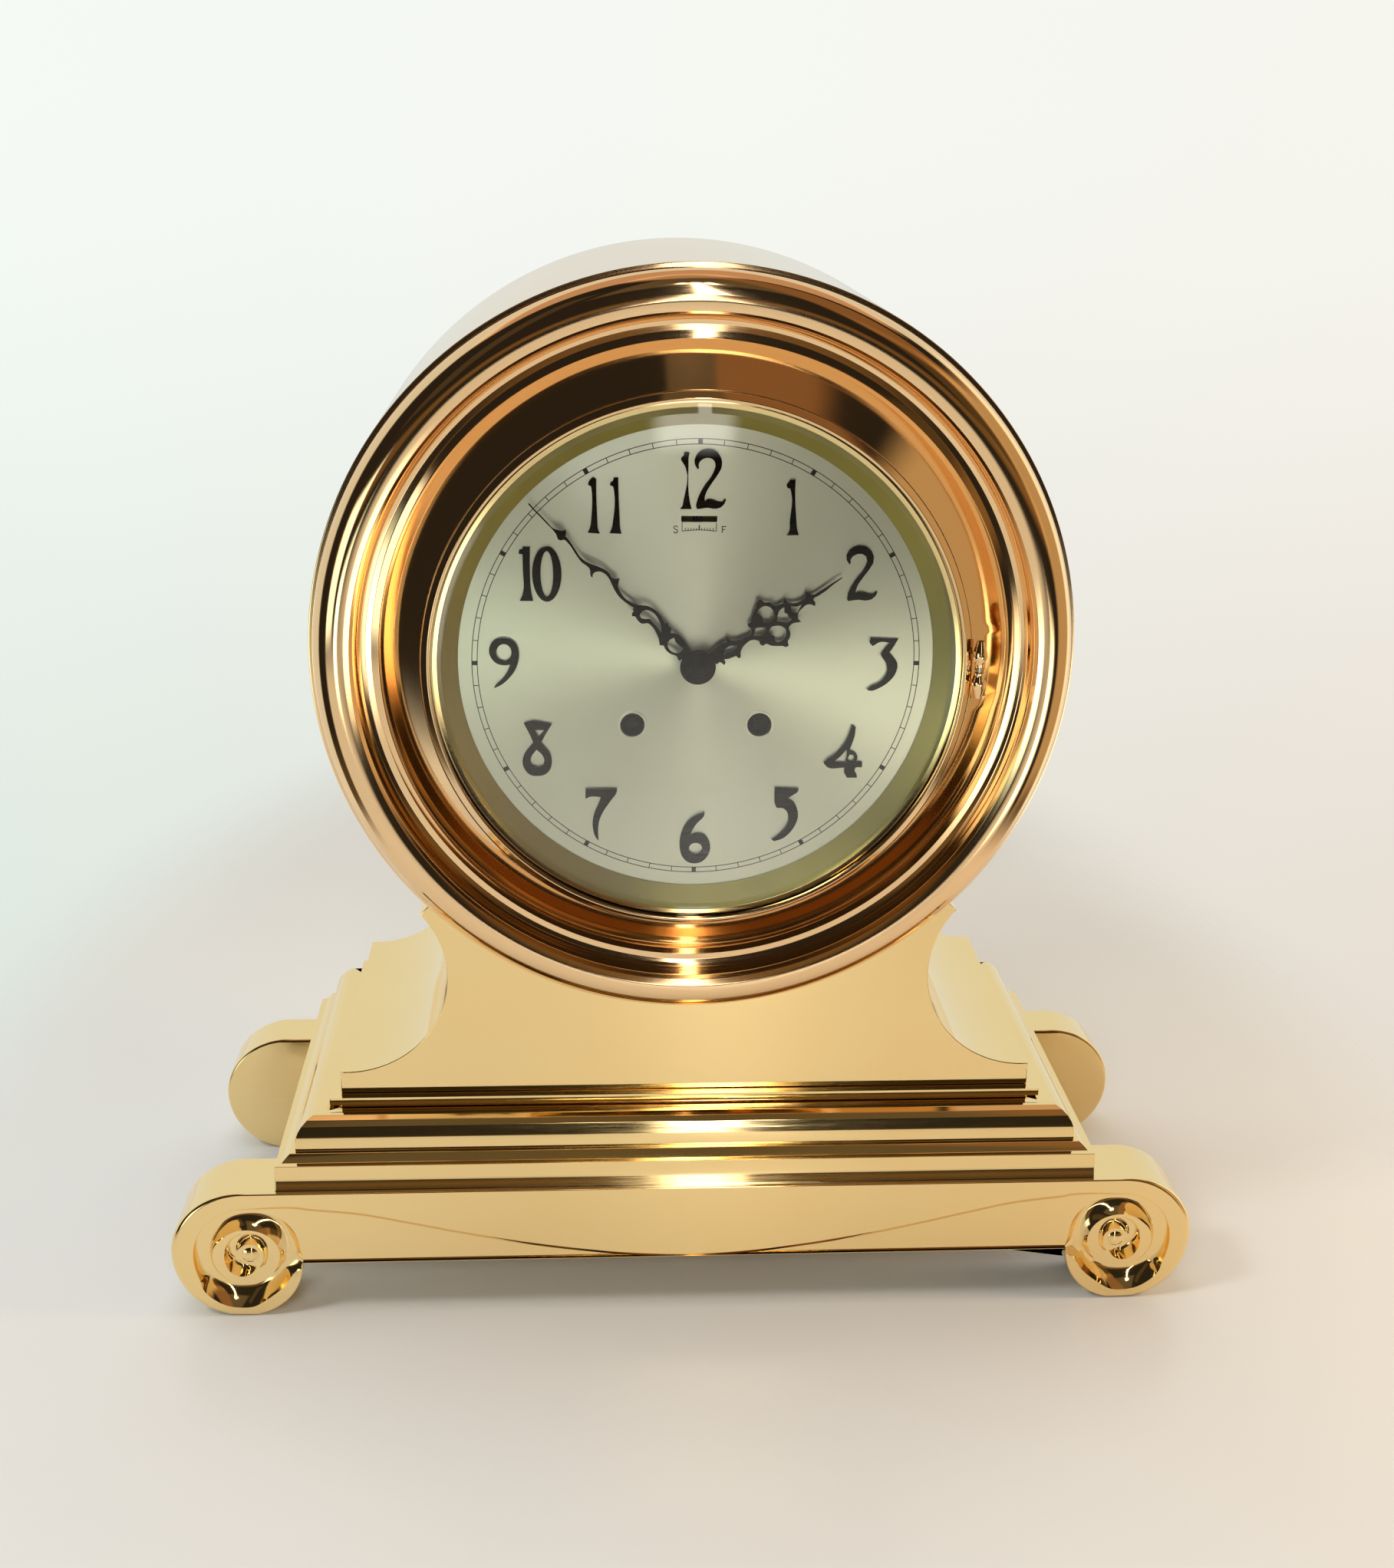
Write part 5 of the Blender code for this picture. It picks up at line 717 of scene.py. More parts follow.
SADDLE_HALF = 171.8
SADDLE_FRONT_Y = -66.0
PLINTH_BACK_Y = 95.6
PLINTH_FOOT = 68.6
PLINTH_WALL = 6.0
PLINTH_CEILING = 92.0
BAND_OUT = 29.9
FILLET_OUT = 20.9
# How far outside the saddle, and how high, up the moulding.
MOULDING = (
    (31.9, PLINTH_FOOT), (31.62, 69.6), (31.3, 70.0), (30.75, 72.2), (30.2, 74.0), (BAND_OUT, 75.6),
    (BAND_OUT, 82.1), (27.0, 82.4), (25.15, 84.24), (23.3, 85.7), (FILLET_OUT, 85.7), (20.8, 89.8),
    (20.5, 92.4), (19.6, 94.8),
    (18.0, 97.2), (15.6, 99.3), (12.9, 100.7), (10.9, 101.0), (9.0, 100.5), (6.0, 99.4), (0.5, 98.6),
    (0.0, 99.5), (0.0, 101.95), (5.3, 101.95), (5.3, 105.9),
)


def plinth():
    section = eased(MOULDING, closed=False)
    inner = [(BAND_OUT - PLINTH_WALL, PLINTH_FOOT), (FILLET_OUT - PLINTH_WALL, PLINTH_CEILING)]
    bm = bmesh.new()

    def loop(out, z, back_y, corner=0.5):
        half, front = SADDLE_HALF + min(out, BAND_OUT), SADDLE_FRONT_Y - out
        points = [(-half, back_y)]
        for x, turn in ((-half + corner, math.pi), (half - corner, math.pi * 1.5)):
            for step in range(4):
                angle = turn + math.pi / 2 * step / 3
                points.append((x + corner * math.cos(angle), front + corner + corner * math.sin(angle)))
        points.append((half, back_y))
        return [bm.verts.new(Vector((x, y, z)) * MM) for x, y in points]

    hollow = [loop(out, z, PLINTH_BACK_Y - PLINTH_WALL) for out, z in reversed(inner)]
    outside = [loop(out, z, PLINTH_BACK_Y) for out, z in section]
    rows = hollow + outside
    quads(bm, rows, closed=True)
    bm.faces.new(rows[0])
    bm.faces.new(rows[-1])
    finished(bm, "plinth_casting", "lacquered_brass", "case", ["base_plinth"], sharp=30)


plinth()


# Saddle

SADDLE_LOW = 106.2
FOOT_TOP = 117.4
CRADLE = 176.6
HORN = (130.5, 201.2)
FLANK_CENTRE_X = 169.0
SADDLE_FRONT_D = 18.4
SADDLE_BACK_D = 180.4


def saddle():
    rise = HORN[1] - FOOT_TOP
    across = FLANK_CENTRE_X - HORN[0]
    radius = (across ** 2 + rise ** 2) / (2 * rise)
    centre = FOOT_TOP + radius
    end = math.atan2(HORN[1] - centre, across)
    left = [(-SADDLE_HALF, SADDLE_LOW), (-SADDLE_HALF, FOOT_TOP)]
    for step in range(49):
        angle = -math.pi / 2 + (end + math.pi / 2) * step / 48
        left.append((-FLANK_CENTRE_X + radius * math.cos(angle), centre + radius * math.sin(angle)))
    cradle = []
    for step in range(97):
        angle = math.radians(-45 + 90 * step / 96)
        cradle.append((CRADLE * math.sin(angle), AXIS_Z - CRADLE * math.cos(angle)))
    outline = left + cradle + mirrored(left)
    part = ([outline], SADDLE_FRONT_D, SADDLE_BACK_D, 0.5, 0.0)
    plates("saddle_casting", [part], "lacquered_brass", "case", ["saddle"])


saddle()


# Drum and front ring

HINGE = {"upright": True, "x": 127.6, "z": AXIS_Z, "y": DIAL_Y - 12.6}
DRUM = 176.3
DRUM_INSIDE = 171.8
TORUS_MIDDLE = (161.5, 9.5)
TORUS_RADIUS = 12.76
TORUS_SWEEP = 101


def drum():
    section = [
        (DRUM, 10.5), (DRUM, 184.7), (DRUM_INSIDE, 184.7), (DRUM_INSIDE, 180.3), (158.0, 180.3),
        (158.0, 176.3), (DRUM_INSIDE, 176.3), (DRUM_INSIDE, 10.5),
    ]
    lathe("drum_tube", section, "rosy_bronze", "case", ["drum_case"], ease=0.5)


def ring():
    torus = []
    for step in range(25):
        angle = math.radians(TORUS_SWEEP * (1 - step / 24))
        radius, depth = TORUS_MIDDLE
        torus.append((radius + TORUS_RADIUS * math.cos(angle), depth - TORUS_RADIUS * math.sin(angle)))
    section = [
        (119.5, -7.2), (124.4, -7.2), (124.4, -11.7), (144.1, 6.3), (144.7, 6.6), (147.6, 7.5),
        (150.4, 7.7), (152.3, 7.0),
        (153.6, 5.8), (154.4, 4.0), (155.2, -0.5), (156.6, -2.4), *torus,
        (174.26, 10.2), (171.4, 10.2), (171.4, 18.0), (167.0, 18.0), (167.0, 11.8), (148.3, 11.8),
        (139.9, 8.5), (112.0, 8.5), (112.0, 1.8), (119.5, 1.8),
    ]
    piece = lathe("face_ring", section, "rosy_bronze", "case", ["front_ring"], ease=0.25)
    # The ring is relieved where the hinge's olives lie on it.
    bm = bmesh.new()
    relief = [(0.0, -14.0), (3.6, -14.0), (3.6, 14.0), (0.0, 14.0)]
    revolve(bm, relief, 48, closed=False, **HINGE)
    cutter = in_scene("relief", mesh_of(bm, "relief"))
    modifier = piece.modifiers.new("relief", "BOOLEAN")
    modifier.object = cutter
    baked(piece)
    bpy.data.objects.remove(cutter)


drum()
ring()


# Bezel, glass, hinge

BEZEL = (
    (121.5, -7.5), (121.5, -12.0), (119.9, -12.0), (119.9, -14.3), (121.15, -14.45), (124.0, -12.0),
    (124.0, -7.5),
)
GLASS = ((0.0, -13.2), (114.5, -13.2), (118.8, -11.7), (121.2, -11.7), (121.2, -10.2), (0.0, -10.2))
REFLECTOR = ((108.0, -0.3), (117.4, -7.0), (119.1, -7.0), (119.1, -0.3))
RETAINER = ((116.5, -9.9), (121.2, -9.9), (121.2, -8.0), (116.5, -8.0))


def face():
    lathe("bezel_rim", BEZEL, "rosy_bronze", "bezel_door", ["glass_bezel"], ease=0.25, count=256)
    fine = {"ease": 0.0, "count": 256, "sharp": 10, "closed": False}
    lathe("dial_glass", GLASS, "plate_glass", "bezel_door", ["bevelled_glass"], **fine)
    lathe("glass_ring", RETAINER, "lacquered_brass", "bezel_door", ["glass_retainer"], ease=0.2)
    lathe("gilt_reflector", REFLECTOR, "olive_gilt", "case", ["reflector_ring"], ease=0.2, count=256)


def olive(side):
    """One olive of the hinge: a neck, a swelling and a long taper to its end."""
    profile = [
        (1.3, 1.5), (2.1, 1.5), (2.15, 3.0), (2.6, 4.2), (3.15, 5.2), (3.3, 6.4), (3.1, 8.0), (2.5, 10.2),
        (1.9, 12.2),
    ]
    profile = flowing(profile, closed=False) + [(1.5, 13.3), (1.3, 13.4)]
    return [(radius, side * height) for radius, height in profile]


def hinge():
    bm = bmesh.new()
    revolve(bm, olive(-1), 48, **HINGE)
    finished(bm, "hinge_olive_lower", "rosy_bronze", "case", ["bezel_hinge_leaf"])
    bm = bmesh.new()
    revolve(bm, olive(1), 48, **HINGE)
    lug = eased([(124.3, 3.9), (126.2, 3.9), (126.2, 8.6), (124.3, 8.6)])
    lug = sheet_of([lug], -13.8, -12.3, 0.2)
    bm.from_mesh(lug)
    bpy.data.meshes.remove(lug)
    finished(bm, "hinge_olive_upper", "rosy_bronze", "bezel_door", ["bezel_hinge_knuckle"])
    pin = [(0.0, -12.2), (1.0, -12.2), (1.0, 12.2), (0.0, 12.2)]
    slim = {"ease": 0.2, "count": 32, "closed": False, **HINGE}
    lathe("hinge_pin", pin, "polished_steel", "case", ["bezel_hinge_pin"], **slim)


face()
hinge()


# Dial

DIAL_RADIUS = 119.1
DIAL_THICKNESS = 1.5
CENTRE_HOLE = 5.2
WINDING = ((-29.2, -29.35), (29.2, -29.35))
WINDING_RIM = 6.7
WINDING_HOLE = 5.6
WINDING_BORE = 5.25
MINUTE_RING = (101.8, 99.4)
MINUTE_LINE = 0.18
HOUR_MARK = 1.0
ENGRAVING_D = -0.06
NUMERAL_THICKNESS = 1.5
NUMERAL_ROUNDING = 0.3
# Outlines with this many points are used as drawn. The 12's own 2 is smoothed all the same.
FINE_OUTLINE = 40
SLOT = [(-8.0, 64.8), (8.0, 64.8), (8.0, 67.5), (-8.0, 67.5)]
TWELVE_ONE = (
    (-7.3, 427.5), (-6.5, 427.7), (-4.8, 427.5), (-5.1, 426), (-5.2, 421.7), (-4.2, 405), (-3.5, 402.5),
    (-8.7, 402.5), (-7.7, 403.7), (-7.3, 405.7), (-6.5, 421), (-7.7, 423), (-8.5, 424.3), (-8.3, 425.3),
    (-7.3, 426.2),
)
TWO = (
    (-1.1, 420.1), (-2.3, 422), (-2.5, 424.3), (-1.3, 427), (0.7, 428.7), (3, 429.2), (6, 428.7),
    (8.3, 426.7), (9.5, 424), (9.3, 420.7), (7.7, 417.7), (5, 413.7), (3, 410.3), (2.2, 407.7),
    (2.3, 406), (3.3, 407), (5.3, 407), (8, 406.1), (9.7, 406), (11, 407.1), (11.7, 406.9), (11, 405),
    (9.3, 403.3), (6.7, 402.7), (3.3, 403.1), (0.7, 402.7), (-1.1, 402.5), (-1.5, 403.3), (-1.1, 406.3),
    (0, 409.3), (2, 413), (4.7, 416.7), (6.2, 419.7), (6.7, 421.7), (6, 424), (4.3, 425.1), (2.3, 425.1),
    (0.3, 424), (-0.7, 422.3), (-0.5, 420.7),
)
ELEVEN = (
    (
        (-47, 416.5), (-45.7, 415.5), (-45.7, 410.3), (-45.2, 397), (-45, 393.7), (-44.1, 391.3),
        (-49.5, 391.7), (-48.7, 393.3), (-47.8, 399.7), (-47.8, 411), (-48, 412.3), (-49.3, 413),
        (-49, 414.3), (-48, 415.8),
    ),
    (
        (-38.1, 416.3), (-36, 416.3), (-35.9, 410.3), (-35.3, 397), (-35.1, 393.7), (-34.5, 391.3),
        (-39.8, 391.5), (-39, 393.3), (-38.3, 397), (-37.9, 410.3), (-38.3, 412.3), (-39.7, 412.9),
        (-39.5, 414), (-38.3, 415),
    ),
)
ONE = (
    (40, 415.7), (42.3, 415.8), (42.3, 410.3), (43.3, 397), (43.7, 393.7), (44.5, 391), (39, 390.9),
    (40, 392.3), (40.3, 397), (40.5, 410.3), (40, 411.8), (38.7, 412.2), (38.3, 413.7), (39.2, 414.7),
)
THREE = (
    (78.9, 343.9), (91.6, 343.4), (89.3, 339.3), (87.9, 337.1), (90, 334.6), (91.6, 332.1), (91.8, 330),
    (90.7, 326.4), (87.9, 322.9), (84.3, 320.4), (79.3, 318.9), (78.1, 319.4), (80, 321.1), (83.6, 322.9),
    (86.1, 325.4), (87.1, 328.6), (86.4, 332.1), (84.6, 334.6), (83.9, 336.1), (85.1, 338.2),
    (87.9, 341.6), (82.9, 341.8), (81.1, 340.7), (80, 340), (78.6, 341.6),
)
FOUR = (
    (72.1, 302.5), (73.8, 301.4), (73.6, 297.9), (72.5, 293.6), (71.3, 290.0), (73.2, 289.6),
    (74.8, 288.2), (75.2, 286.2), (74.6, 284.6), (77.5, 284.4), (77.5, 281.9), (74.6, 281.9),
    (74.1, 280.4), (75.0, 278.6), (75.4, 276.8), (70.7, 276.8), (69.3, 279.3), (69.3, 281.8),
    (61.1, 282.1), (59.6, 283.9), (60.0, 284.6), (65.7, 289.3), (69.3, 294.3), (71.4, 300.0),
)
FOUR_HOLES = (
    ((69.6, 284.4), (64.2, 284.6), (67.4, 287.4), (69.9, 290.6), (70.2, 288.0)),
    ((71.6, 288.1), (73.2, 287.8), (73.8, 286.4), (73.0, 285.0), (71.4, 284.9), (70.9, 286.4)),
)
FIVE = (
    (37.1, 272.1), (48.2, 271.6), (48.2, 270.7), (45, 267.9), (43.4, 266.8), (46.1, 265), (47.9, 261.4),
    (48.4, 257.9), (47.5, 254.3), (45, 250), (41.4, 246.8), (37.5, 245.5), (36.2, 246.4), (37.9, 247.5),
    (40.7, 250), (43.2, 253.6), (43.9, 257.1), (43.2, 260), (41.4, 261.8), (38.2, 262.1), (37.5, 263.6),
    (37.1, 269.3),
)
SIX = (
    (4.5, 260.2), (4.6, 259.2), (0.8, 254.2), (-1.15, 250.8), (-1.9, 248.8), (0.8, 249.8), (4.6, 248.8),
    (6.9, 245.8), (7.5, 241.9), (6.2, 238.1), (3.5, 235.4), (0.4, 234.6), (-3.1, 235.4), (-5.8, 238.5),
    (-6.8, 242.7), (-6.5, 248.1), (-5, 252.7), (-2.3, 256.5), (0.8, 258.8),
)
SEVEN = (
    (-50.8, 271.9), (-36.2, 271.9), (-36.3, 270.4), (-39.2, 265.8), (-42.7, 260.4), (-44.5, 255.8),
    (-45, 251.2), (-44.8, 246.3), (-46.2, 248.1), (-47.3, 251.9), (-47.5, 255.8), (-46.5, 260.4),
    (-44.6, 265), (-43.6, 267.7), (-46.9, 268.1), (-49.2, 267.8), (-50.8, 266.9),
)
EIGHT = (
    (-78.8, 303.5), (-77.7, 304.2), (-65.9, 303.3), (-70.4, 295.4), (-70.9, 294.2), (-69.2, 291.9),
    (-66.9, 288.8), (-66.2, 285), (-66.9, 281.5), (-69.2, 279), (-72.7, 278.2), (-76.2, 278.8),
    (-78.5, 281.2), (-79.6, 284.6), (-78.8, 288.5), (-76.5, 291.9), (-74.6, 294.2), (-75, 295.4),
)
EIGHT_HOLES = (
    ((-74, 300.3), (-69.4, 300.3), (-72, 297)),
    (
        (-73.1, 290.9), (-75.4, 287.7), (-75.9, 285.4), (-75.2, 283.5), (-72.7, 282.7), (-70.2, 283.5),
        (-69.6, 285.4), (-70.4, 288.1),
    ),
)
NINE = (
    (-94, 337.7), (-93.1, 340.8), (-90.8, 343.1), (-87.3, 343.8), (-83.8, 342.8), (-81.5, 340.4),
    (-80.6, 337.3), (-80.9, 332.7), (-82.7, 328.1), (-85.4, 324.6), (-88.5, 321.9), (-91.9, 320.2),
    (-91.5, 321.2), (-88.5, 324.2), (-85.8, 328.1), (-84.6, 331.2), (-87.3, 330.9), (-90.8, 331.9),
    (-93.2, 334.6),
)
TEN_ONE = (
    (-78.3, 385.4), (-75, 385.4), (-75.2, 375), (-74.6, 364), (-73.9, 360.7), (-79.8, 360.7),
    (-78.6, 363.5), (-78.3, 375), (-78.4, 381.9), (-80.1, 382.1), (-79.8, 384), (-78.4, 384.4),
)


def oval(x, z, half_x, half_z, count=40):
    return [(x + half_x * a, z + half_z * b) for a, b in circle(1.0, count)]


def numerals():
    """Cast numerals pinned to the dial, each one plate with softly rounded edges."""
    # The 2 is the one of the 12, a little wider and lower, in its own place.
    two = [((x + 2.5) * 1.035 + 66.3, (z - 402.5) * 0.955 + 361.0) for x, z in TWO]
    drawn = {
        "numeral_12": [[TWELVE_ONE], [TWO]],
        "numeral_1": [[ONE]],
        "numeral_2": [[two]],
        "numeral_3": [[THREE]],
        "numeral_4": [[FOUR, *FOUR_HOLES]],
        "numeral_5": [[FIVE]],
        "numeral_6": [[SIX, oval(0.6, 242.1, 3.1, 2.75)]],
        "numeral_7": [[SEVEN]],
        "numeral_8": [[EIGHT, *EIGHT_HOLES]],
        "numeral_9": [[NINE, oval(-87.3, 336.9, 3.4, 3.9)]],
        "numeral_10": [[TEN_ONE], [oval(-67.7, 373.0, 6.5, 12.6, 72), oval(-67.7, 373.0, 2.8, 10.3, 56)]],
        "numeral_11": [[shape] for shape in ELEVEN],
    }
    for name, shapes in drawn.items():
        parts = []
        for outlines in shapes:
            coarse = [len(line) < FINE_OUTLINE or line is TWO for line in outlines]
            smooth = [flowing(line) if rough else line for line, rough in zip(outlines, coarse)]
            parts.append((smooth, -NUMERAL_THICKNESS, 0.0, NUMERAL_ROUNDING, 0.0))
        plates(name, parts, "bronzed_steel", "case")


def dial():
    holes = [circle(WINDING_HOLE, 64, x, z) for x, z in WINDING]
    outlines = [circle(DIAL_RADIUS, 256), circle(CENTRE_HOLE, 64), SLOT] + holes
    plates("dial_plate", [(outlines, 0.0, DIAL_THICKNESS, 0.1)], "silvered_brass", "case", ["dial"])
    edges = [circle(WINDING_RIM, 64, x, z) for x, z in WINDING]
    rims = [([edge, hole], -0.35, 0.0, 0.12) for edge, hole in zip(edges, holes)]
    plates("winding_hole_rims", rims, "silvered_brass", "case")
    # Black sleeves line the holes' walls: painted shade, as dark as the shadowed gap behind the dial.
    bores = [circle(WINDING_BORE, 64, x, z) for x, z in WINDING]
    sleeves = [([hole, bore], 0.05, 2.4, 0.0) for hole, bore in zip(holes, bores)]
    plates("winding_hole_sleeves", sleeves, "black_wax", "case")
    lines = [[circle(radius + side * MINUTE_LINE, 256) for side in (1, -1)] for radius in MINUTE_RING]
    parts = [(line, ENGRAVING_D, 0.0, 0.0) for line in lines]
    for minute in range(60):
        angle = math.tau * minute / 60
        along = Vector((math.sin(angle), math.cos(angle)))
        side = Vector((along.y, -along.x))
        half = MINUTE_LINE if minute % 5 else HOUR_MARK
        corners = ((99.5, -half), (101.7, -half), (101.7, half), (99.5, half))
        box = [along * r + side * s for r, s in corners]
        parts.append(([[tuple(p) for p in box]], ENGRAVING_D, 0.0, 0.0))
    base = [(-7.6, 60.7), (-4.0, 61.1), (0.0, 61.3), (4.0, 61.1), (7.6, 60.7)]
    marks = [base, [(-7.6, 60.7), (-7.6, 64.5)], [(7.6, 60.7), (7.6, 64.5)]]
    marks += [[(x, 61.0), (x, 62.2)] for x in (-6.2, -4.9, -3.6, -2.4, -1.2, 1.2, 2.4, 3.6, 4.9, 6.2)]
    parts += [([stroke(mark, 0.3)], ENGRAVING_D, 0.0, 0.0) for mark in marks]
    parts.append(([stroke([(0.0, 61.2), (0.0, 63.4)], 0.55)], ENGRAVING_D, 0.0, 0.0))
    s_line = [
        (-9.6, 62.4), (-10.2, 63.0), (-11.0, 62.9), (-11.3, 62.3), (-10.9, 61.7), (-10.0, 61.3),
        (-9.6, 60.7), (-9.9, 60.1), (-10.7, 59.9), (-11.4, 60.4),
    ]
    parts.append(([stroke(flowing(s_line, closed=False), 0.4)], ENGRAVING_D, 0.0, 0.0))
    parts.append(([stroke([(10.3, 59.9), (10.3, 62.9)], 0.4)], ENGRAVING_D, 0.0, 0.0))
    # The letter's bars lie a hair in front of its stem, so no two faces share a plane.
    for line in ([(10.1, 62.8), (12.0, 62.8)], [(10.2, 61.5), (11.6, 61.5)]):
        parts.append(([stroke(line, 0.4)], ENGRAVING_D - 0.005, 0.0, 0.0))
    plates("dial_engraving", parts, "black_wax", "case")


dial()
numerals()


# Hands

MINUTE_ANGLE = -45.7
HOUR_ANGLE = 57.7
HAND_BOSS = 7.0
HAND_THICKNESS = 0.8
HAND_ROUNDING = 0.16
# Millimetres along each hand and to its right, from the arm's root on one side to its root on the other.
MINUTE_SHAPE = (
    (4.7, 3.3), (7.0, 3.1), (10.6, 3.8), (13.7, 4.4), (16.2, 4.4), (18.3, 3.7), (19.8, 2.5), (21.2, 4.3),
    (22.8, 4.1), (24.2, 4.8), (24.9, 3.7), (28.0, 4.8), (30.9, 5.2), (33.8, 4.9), (36.7, 3.6),
    (39.5, 1.4), (42.4, 0.2), (45.1, -0.4), (47.8, -0.2), (50.1, 0.5), (51.8, 1.3), (53.0, 3.0),
    (53.8, 4.4), (54.9, 2.8), (56.3, 2.2), (58.8, 2.7), (61.1, 2.5), (63.6, 1.7), (65.9, 0.7),
    (68.2, -0.3), (70.9, -0.9), (73.4, -0.9), (76.5, -0.2), (79.9, 0.6), (82.8, 1.1), (84.0, 1.1),
    (84.6, 2.2), (85.9, 3.3), (86.8, 1.9), (88.8, 0.5), (90.3, -0.1), (94.0, 0.0), (98.0, 0.2),
    (102.5, 0.3), (105.4, 0.6), (105.5, 0.0), (101.9, -0.3), (97.8, -0.4), (93.5, -0.6), (89.2, -0.8),
    (87.2, -1.2), (85.4, -2.1), (84.0, -1.5), (83.4, -0.3), (81.5, -0.2), (78.6, -0.6), (75.9, -1.3),
    (73.2, -1.9), (70.5, -2.2), (68.0, -1.8), (66.0, -2.0), (64.7, -3.1), (63.5, -3.9), (62.4, -3.9),
    (63.3, -2.9), (63.5, -1.8), (62.3, 0.3), (59.9, 1.2), (57.2, 1.0), (54.1, -0.1), (51.0, -1.2),
    (47.9, -1.8), (44.7, -1.7), (41.2, -1.1), (39.6, -0.6), (39.8, -1.7), (38.7, -1.9), (38.7, -2.8),
    (37.8, -4.1), (36.6, -3.2), (35.0, -3.6), (32.3, -3.5), (30.2, -1.4), (27.9, -1.2), (24.8, -1.9),
    (22.1, -3.0), (19.4, -4.9), (18.0, -3.8), (16.1, -4.5), (13.6, -4.5), (9.8, -3.3), (8.9, -3.8),
    (7.6, -3.6), (7.9, -2.9), (6.9, -1.7),
)
MINUTE_WINDOWS = (
    (
        (35.6, -1.3), (36.0, 0.3), (35.3, 2.2), (33.2, 3.4), (30.1, 3.6), (27.2, 2.7), (24.7, 1.4),
        (22.6, -0.5), (26.4, 0.2), (28.7, 0.4), (31.2, 0.5), (32.0, -0.4), (33.1, -1.4), (34.3, -1.8),
    ),
    (
        (17.3, -2.0), (17.9, -0.1), (17.2, 2.1), (15.5, 1.2), (13.3, 1.1), (10.8, 1.5), (10.4, -0.2),
        (11.6, -2.4), (14.0, -3.3), (15.8, -3.0),
    ),
)
HOUR_SHAPE = (
    (7.5, -2.0), (11.2, -2.7), (14.9, -3.0), (16.9, -2.5), (18.1, -4.4), (18.6, -2.2), (20.1, -0.9),
    (22.6, -0.2), (25.3, 0.2), (27.5, 0.5), (29.1, -0.9), (29.2, -1.7), (28.8, -3.4), (29.1, -4.4),
    (30.9, -4.5), (32.3, -6.0), (34.2, -7.7), (36.6, -9.2), (37.6, -10.9), (39.4, -11.3), (40.1, -10.2),
    (40.6, -9.0), (42.7, -7.6), (44.0, -5.1), (45.0, -4.7), (47.6, -4.2), (49.6, -5.9), (49.5, -3.9),
    (50.2, -2.6), (52.7, -1.0), (54.9, -0.8), (57.1, -0.9), (58.6, -2.4), (58.8, -3.7), (59.5, -2.5),
    (60.1, -1.1), (60.6, -0.5), (64.5, -0.1), (70.5, -0.2), (76.2, -0.2), (76.2, 0.2), (71.2, 0.6),
    (66.6, 1.3), (61.8, 1.4), (60.7, 1.3), (59.9, 2.0), (60.2, 3.4), (59.1, 4.8), (57.9, 3.0),
    (56.0, 2.2), (54.0, 2.5), (51.8, 3.1), (50.3, 4.5), (49.8, 6.0), (50.2, 7.7), (48.8, 7.1),
    (47.1, 6.4), (45.0, 6.5), (44.0, 7.1), (43.5, 9.4), (41.9, 11.4), (40.5, 12.2), (39.8, 14.2),
    (38.4, 14.1), (37.4, 12.9), (35.3, 11.6), (32.9, 9.8), (31.6, 8.1), (29.8, 8.0), (29.1, 6.8),
    (29.5, 5.3), (28.3, 3.8), (26.5, 2.9), (24.1, 3.0), (21.6, 3.8), (19.8, 5.1), (18.4, 7.2),
    (17.6, 7.3), (17.1, 5.6), (15.6, 5.3), (13.5, 4.9), (11.7, 4.0), (11.5, 5.7), (10.2, 6.4), (9.9, 5.0),
    (9.3, 4.0), (7.9, 4.3), (7.1, 3.3),
)
HOUR_WINDOWS = (
    (
        (12.8, 1.8), (14.6, 0.3), (17.1, 0.1), (20.2, 1.8),
        (19.1, 2.5), (16.5, 3.0), (14.4, 2.5), (12.9, 2.2),
    ),
    ((28.7, 1.8), (31.2, -0.7), (33.1, 0.0), (35.3, 1.7), (32.8, 3.8), (31.0, 3.3)),
    (
        (35.4, -6.4), (37.3, -7.5), (40.1, -7.3), (41.8, -5.3), (41.9, -2.8), (40.6, -0.7), (38.3, 0.2),
        (36.2, -0.7), (35.8, -2.0), (36.4, -3.4), (36.1, -4.6),
    ),
    (
        (36.0, 3.5), (37.4, 2.6), (39.5, 3.1), (41.5, 4.6), (42.4, 6.9), (41.4, 9.2), (39.5, 10.4),
        (37.2, 10.4), (35.9, 9.6), (35.7, 8.6), (36.6, 7.1), (36.0, 5.8), (35.5, 4.6),
    ),
    (
        (47.2, -2.2), (45.5, -2.3), (43.9, -1.6), (42.4, -0.2), (41.0, 1.6), (42.5, 2.9), (45.0, 4.6),
        (47.2, 4.4), (46.6, 3.1), (46.7, 1.4), (45.9, 0.0),
    ),
    ((50.0, -1.0), (51.8, 0.4), (54.4, 1.0), (52.5, 2.1), (50.6, 3.2), (49.4, 1.9), (49.4, 0.4)),
)


def hand(name, angle, shape, windows, bore, front, body, node):
    turn = math.radians(angle)

    def placed(points):
        sine, cosine = math.sin(turn), math.cos(turn)
        return [(a * sine + b * cosine, a * cosine - b * sine) for a, b in points]

    start = math.atan2(shape[-1][1], shape[-1][0])
    sweep = math.atan2(shape[0][1], shape[0][0]) - start
    sweep -= math.copysign(math.tau, sweep)
    turns = [start + sweep * i / 48 for i in range(1, 48)]
    boss = [(HAND_BOSS * math.cos(a), HAND_BOSS * math.sin(a)) for a in turns]
    arm = flowing(shape, closed=False)
    outlines = [placed(arm + boss), *[placed(flowing(window)) for window in windows], circle(bore, 48)]
    plate = (outlines, front, front + HAND_THICKNESS, HAND_ROUNDING)
    plates(name, [plate], "bronzed_steel", body, [node])


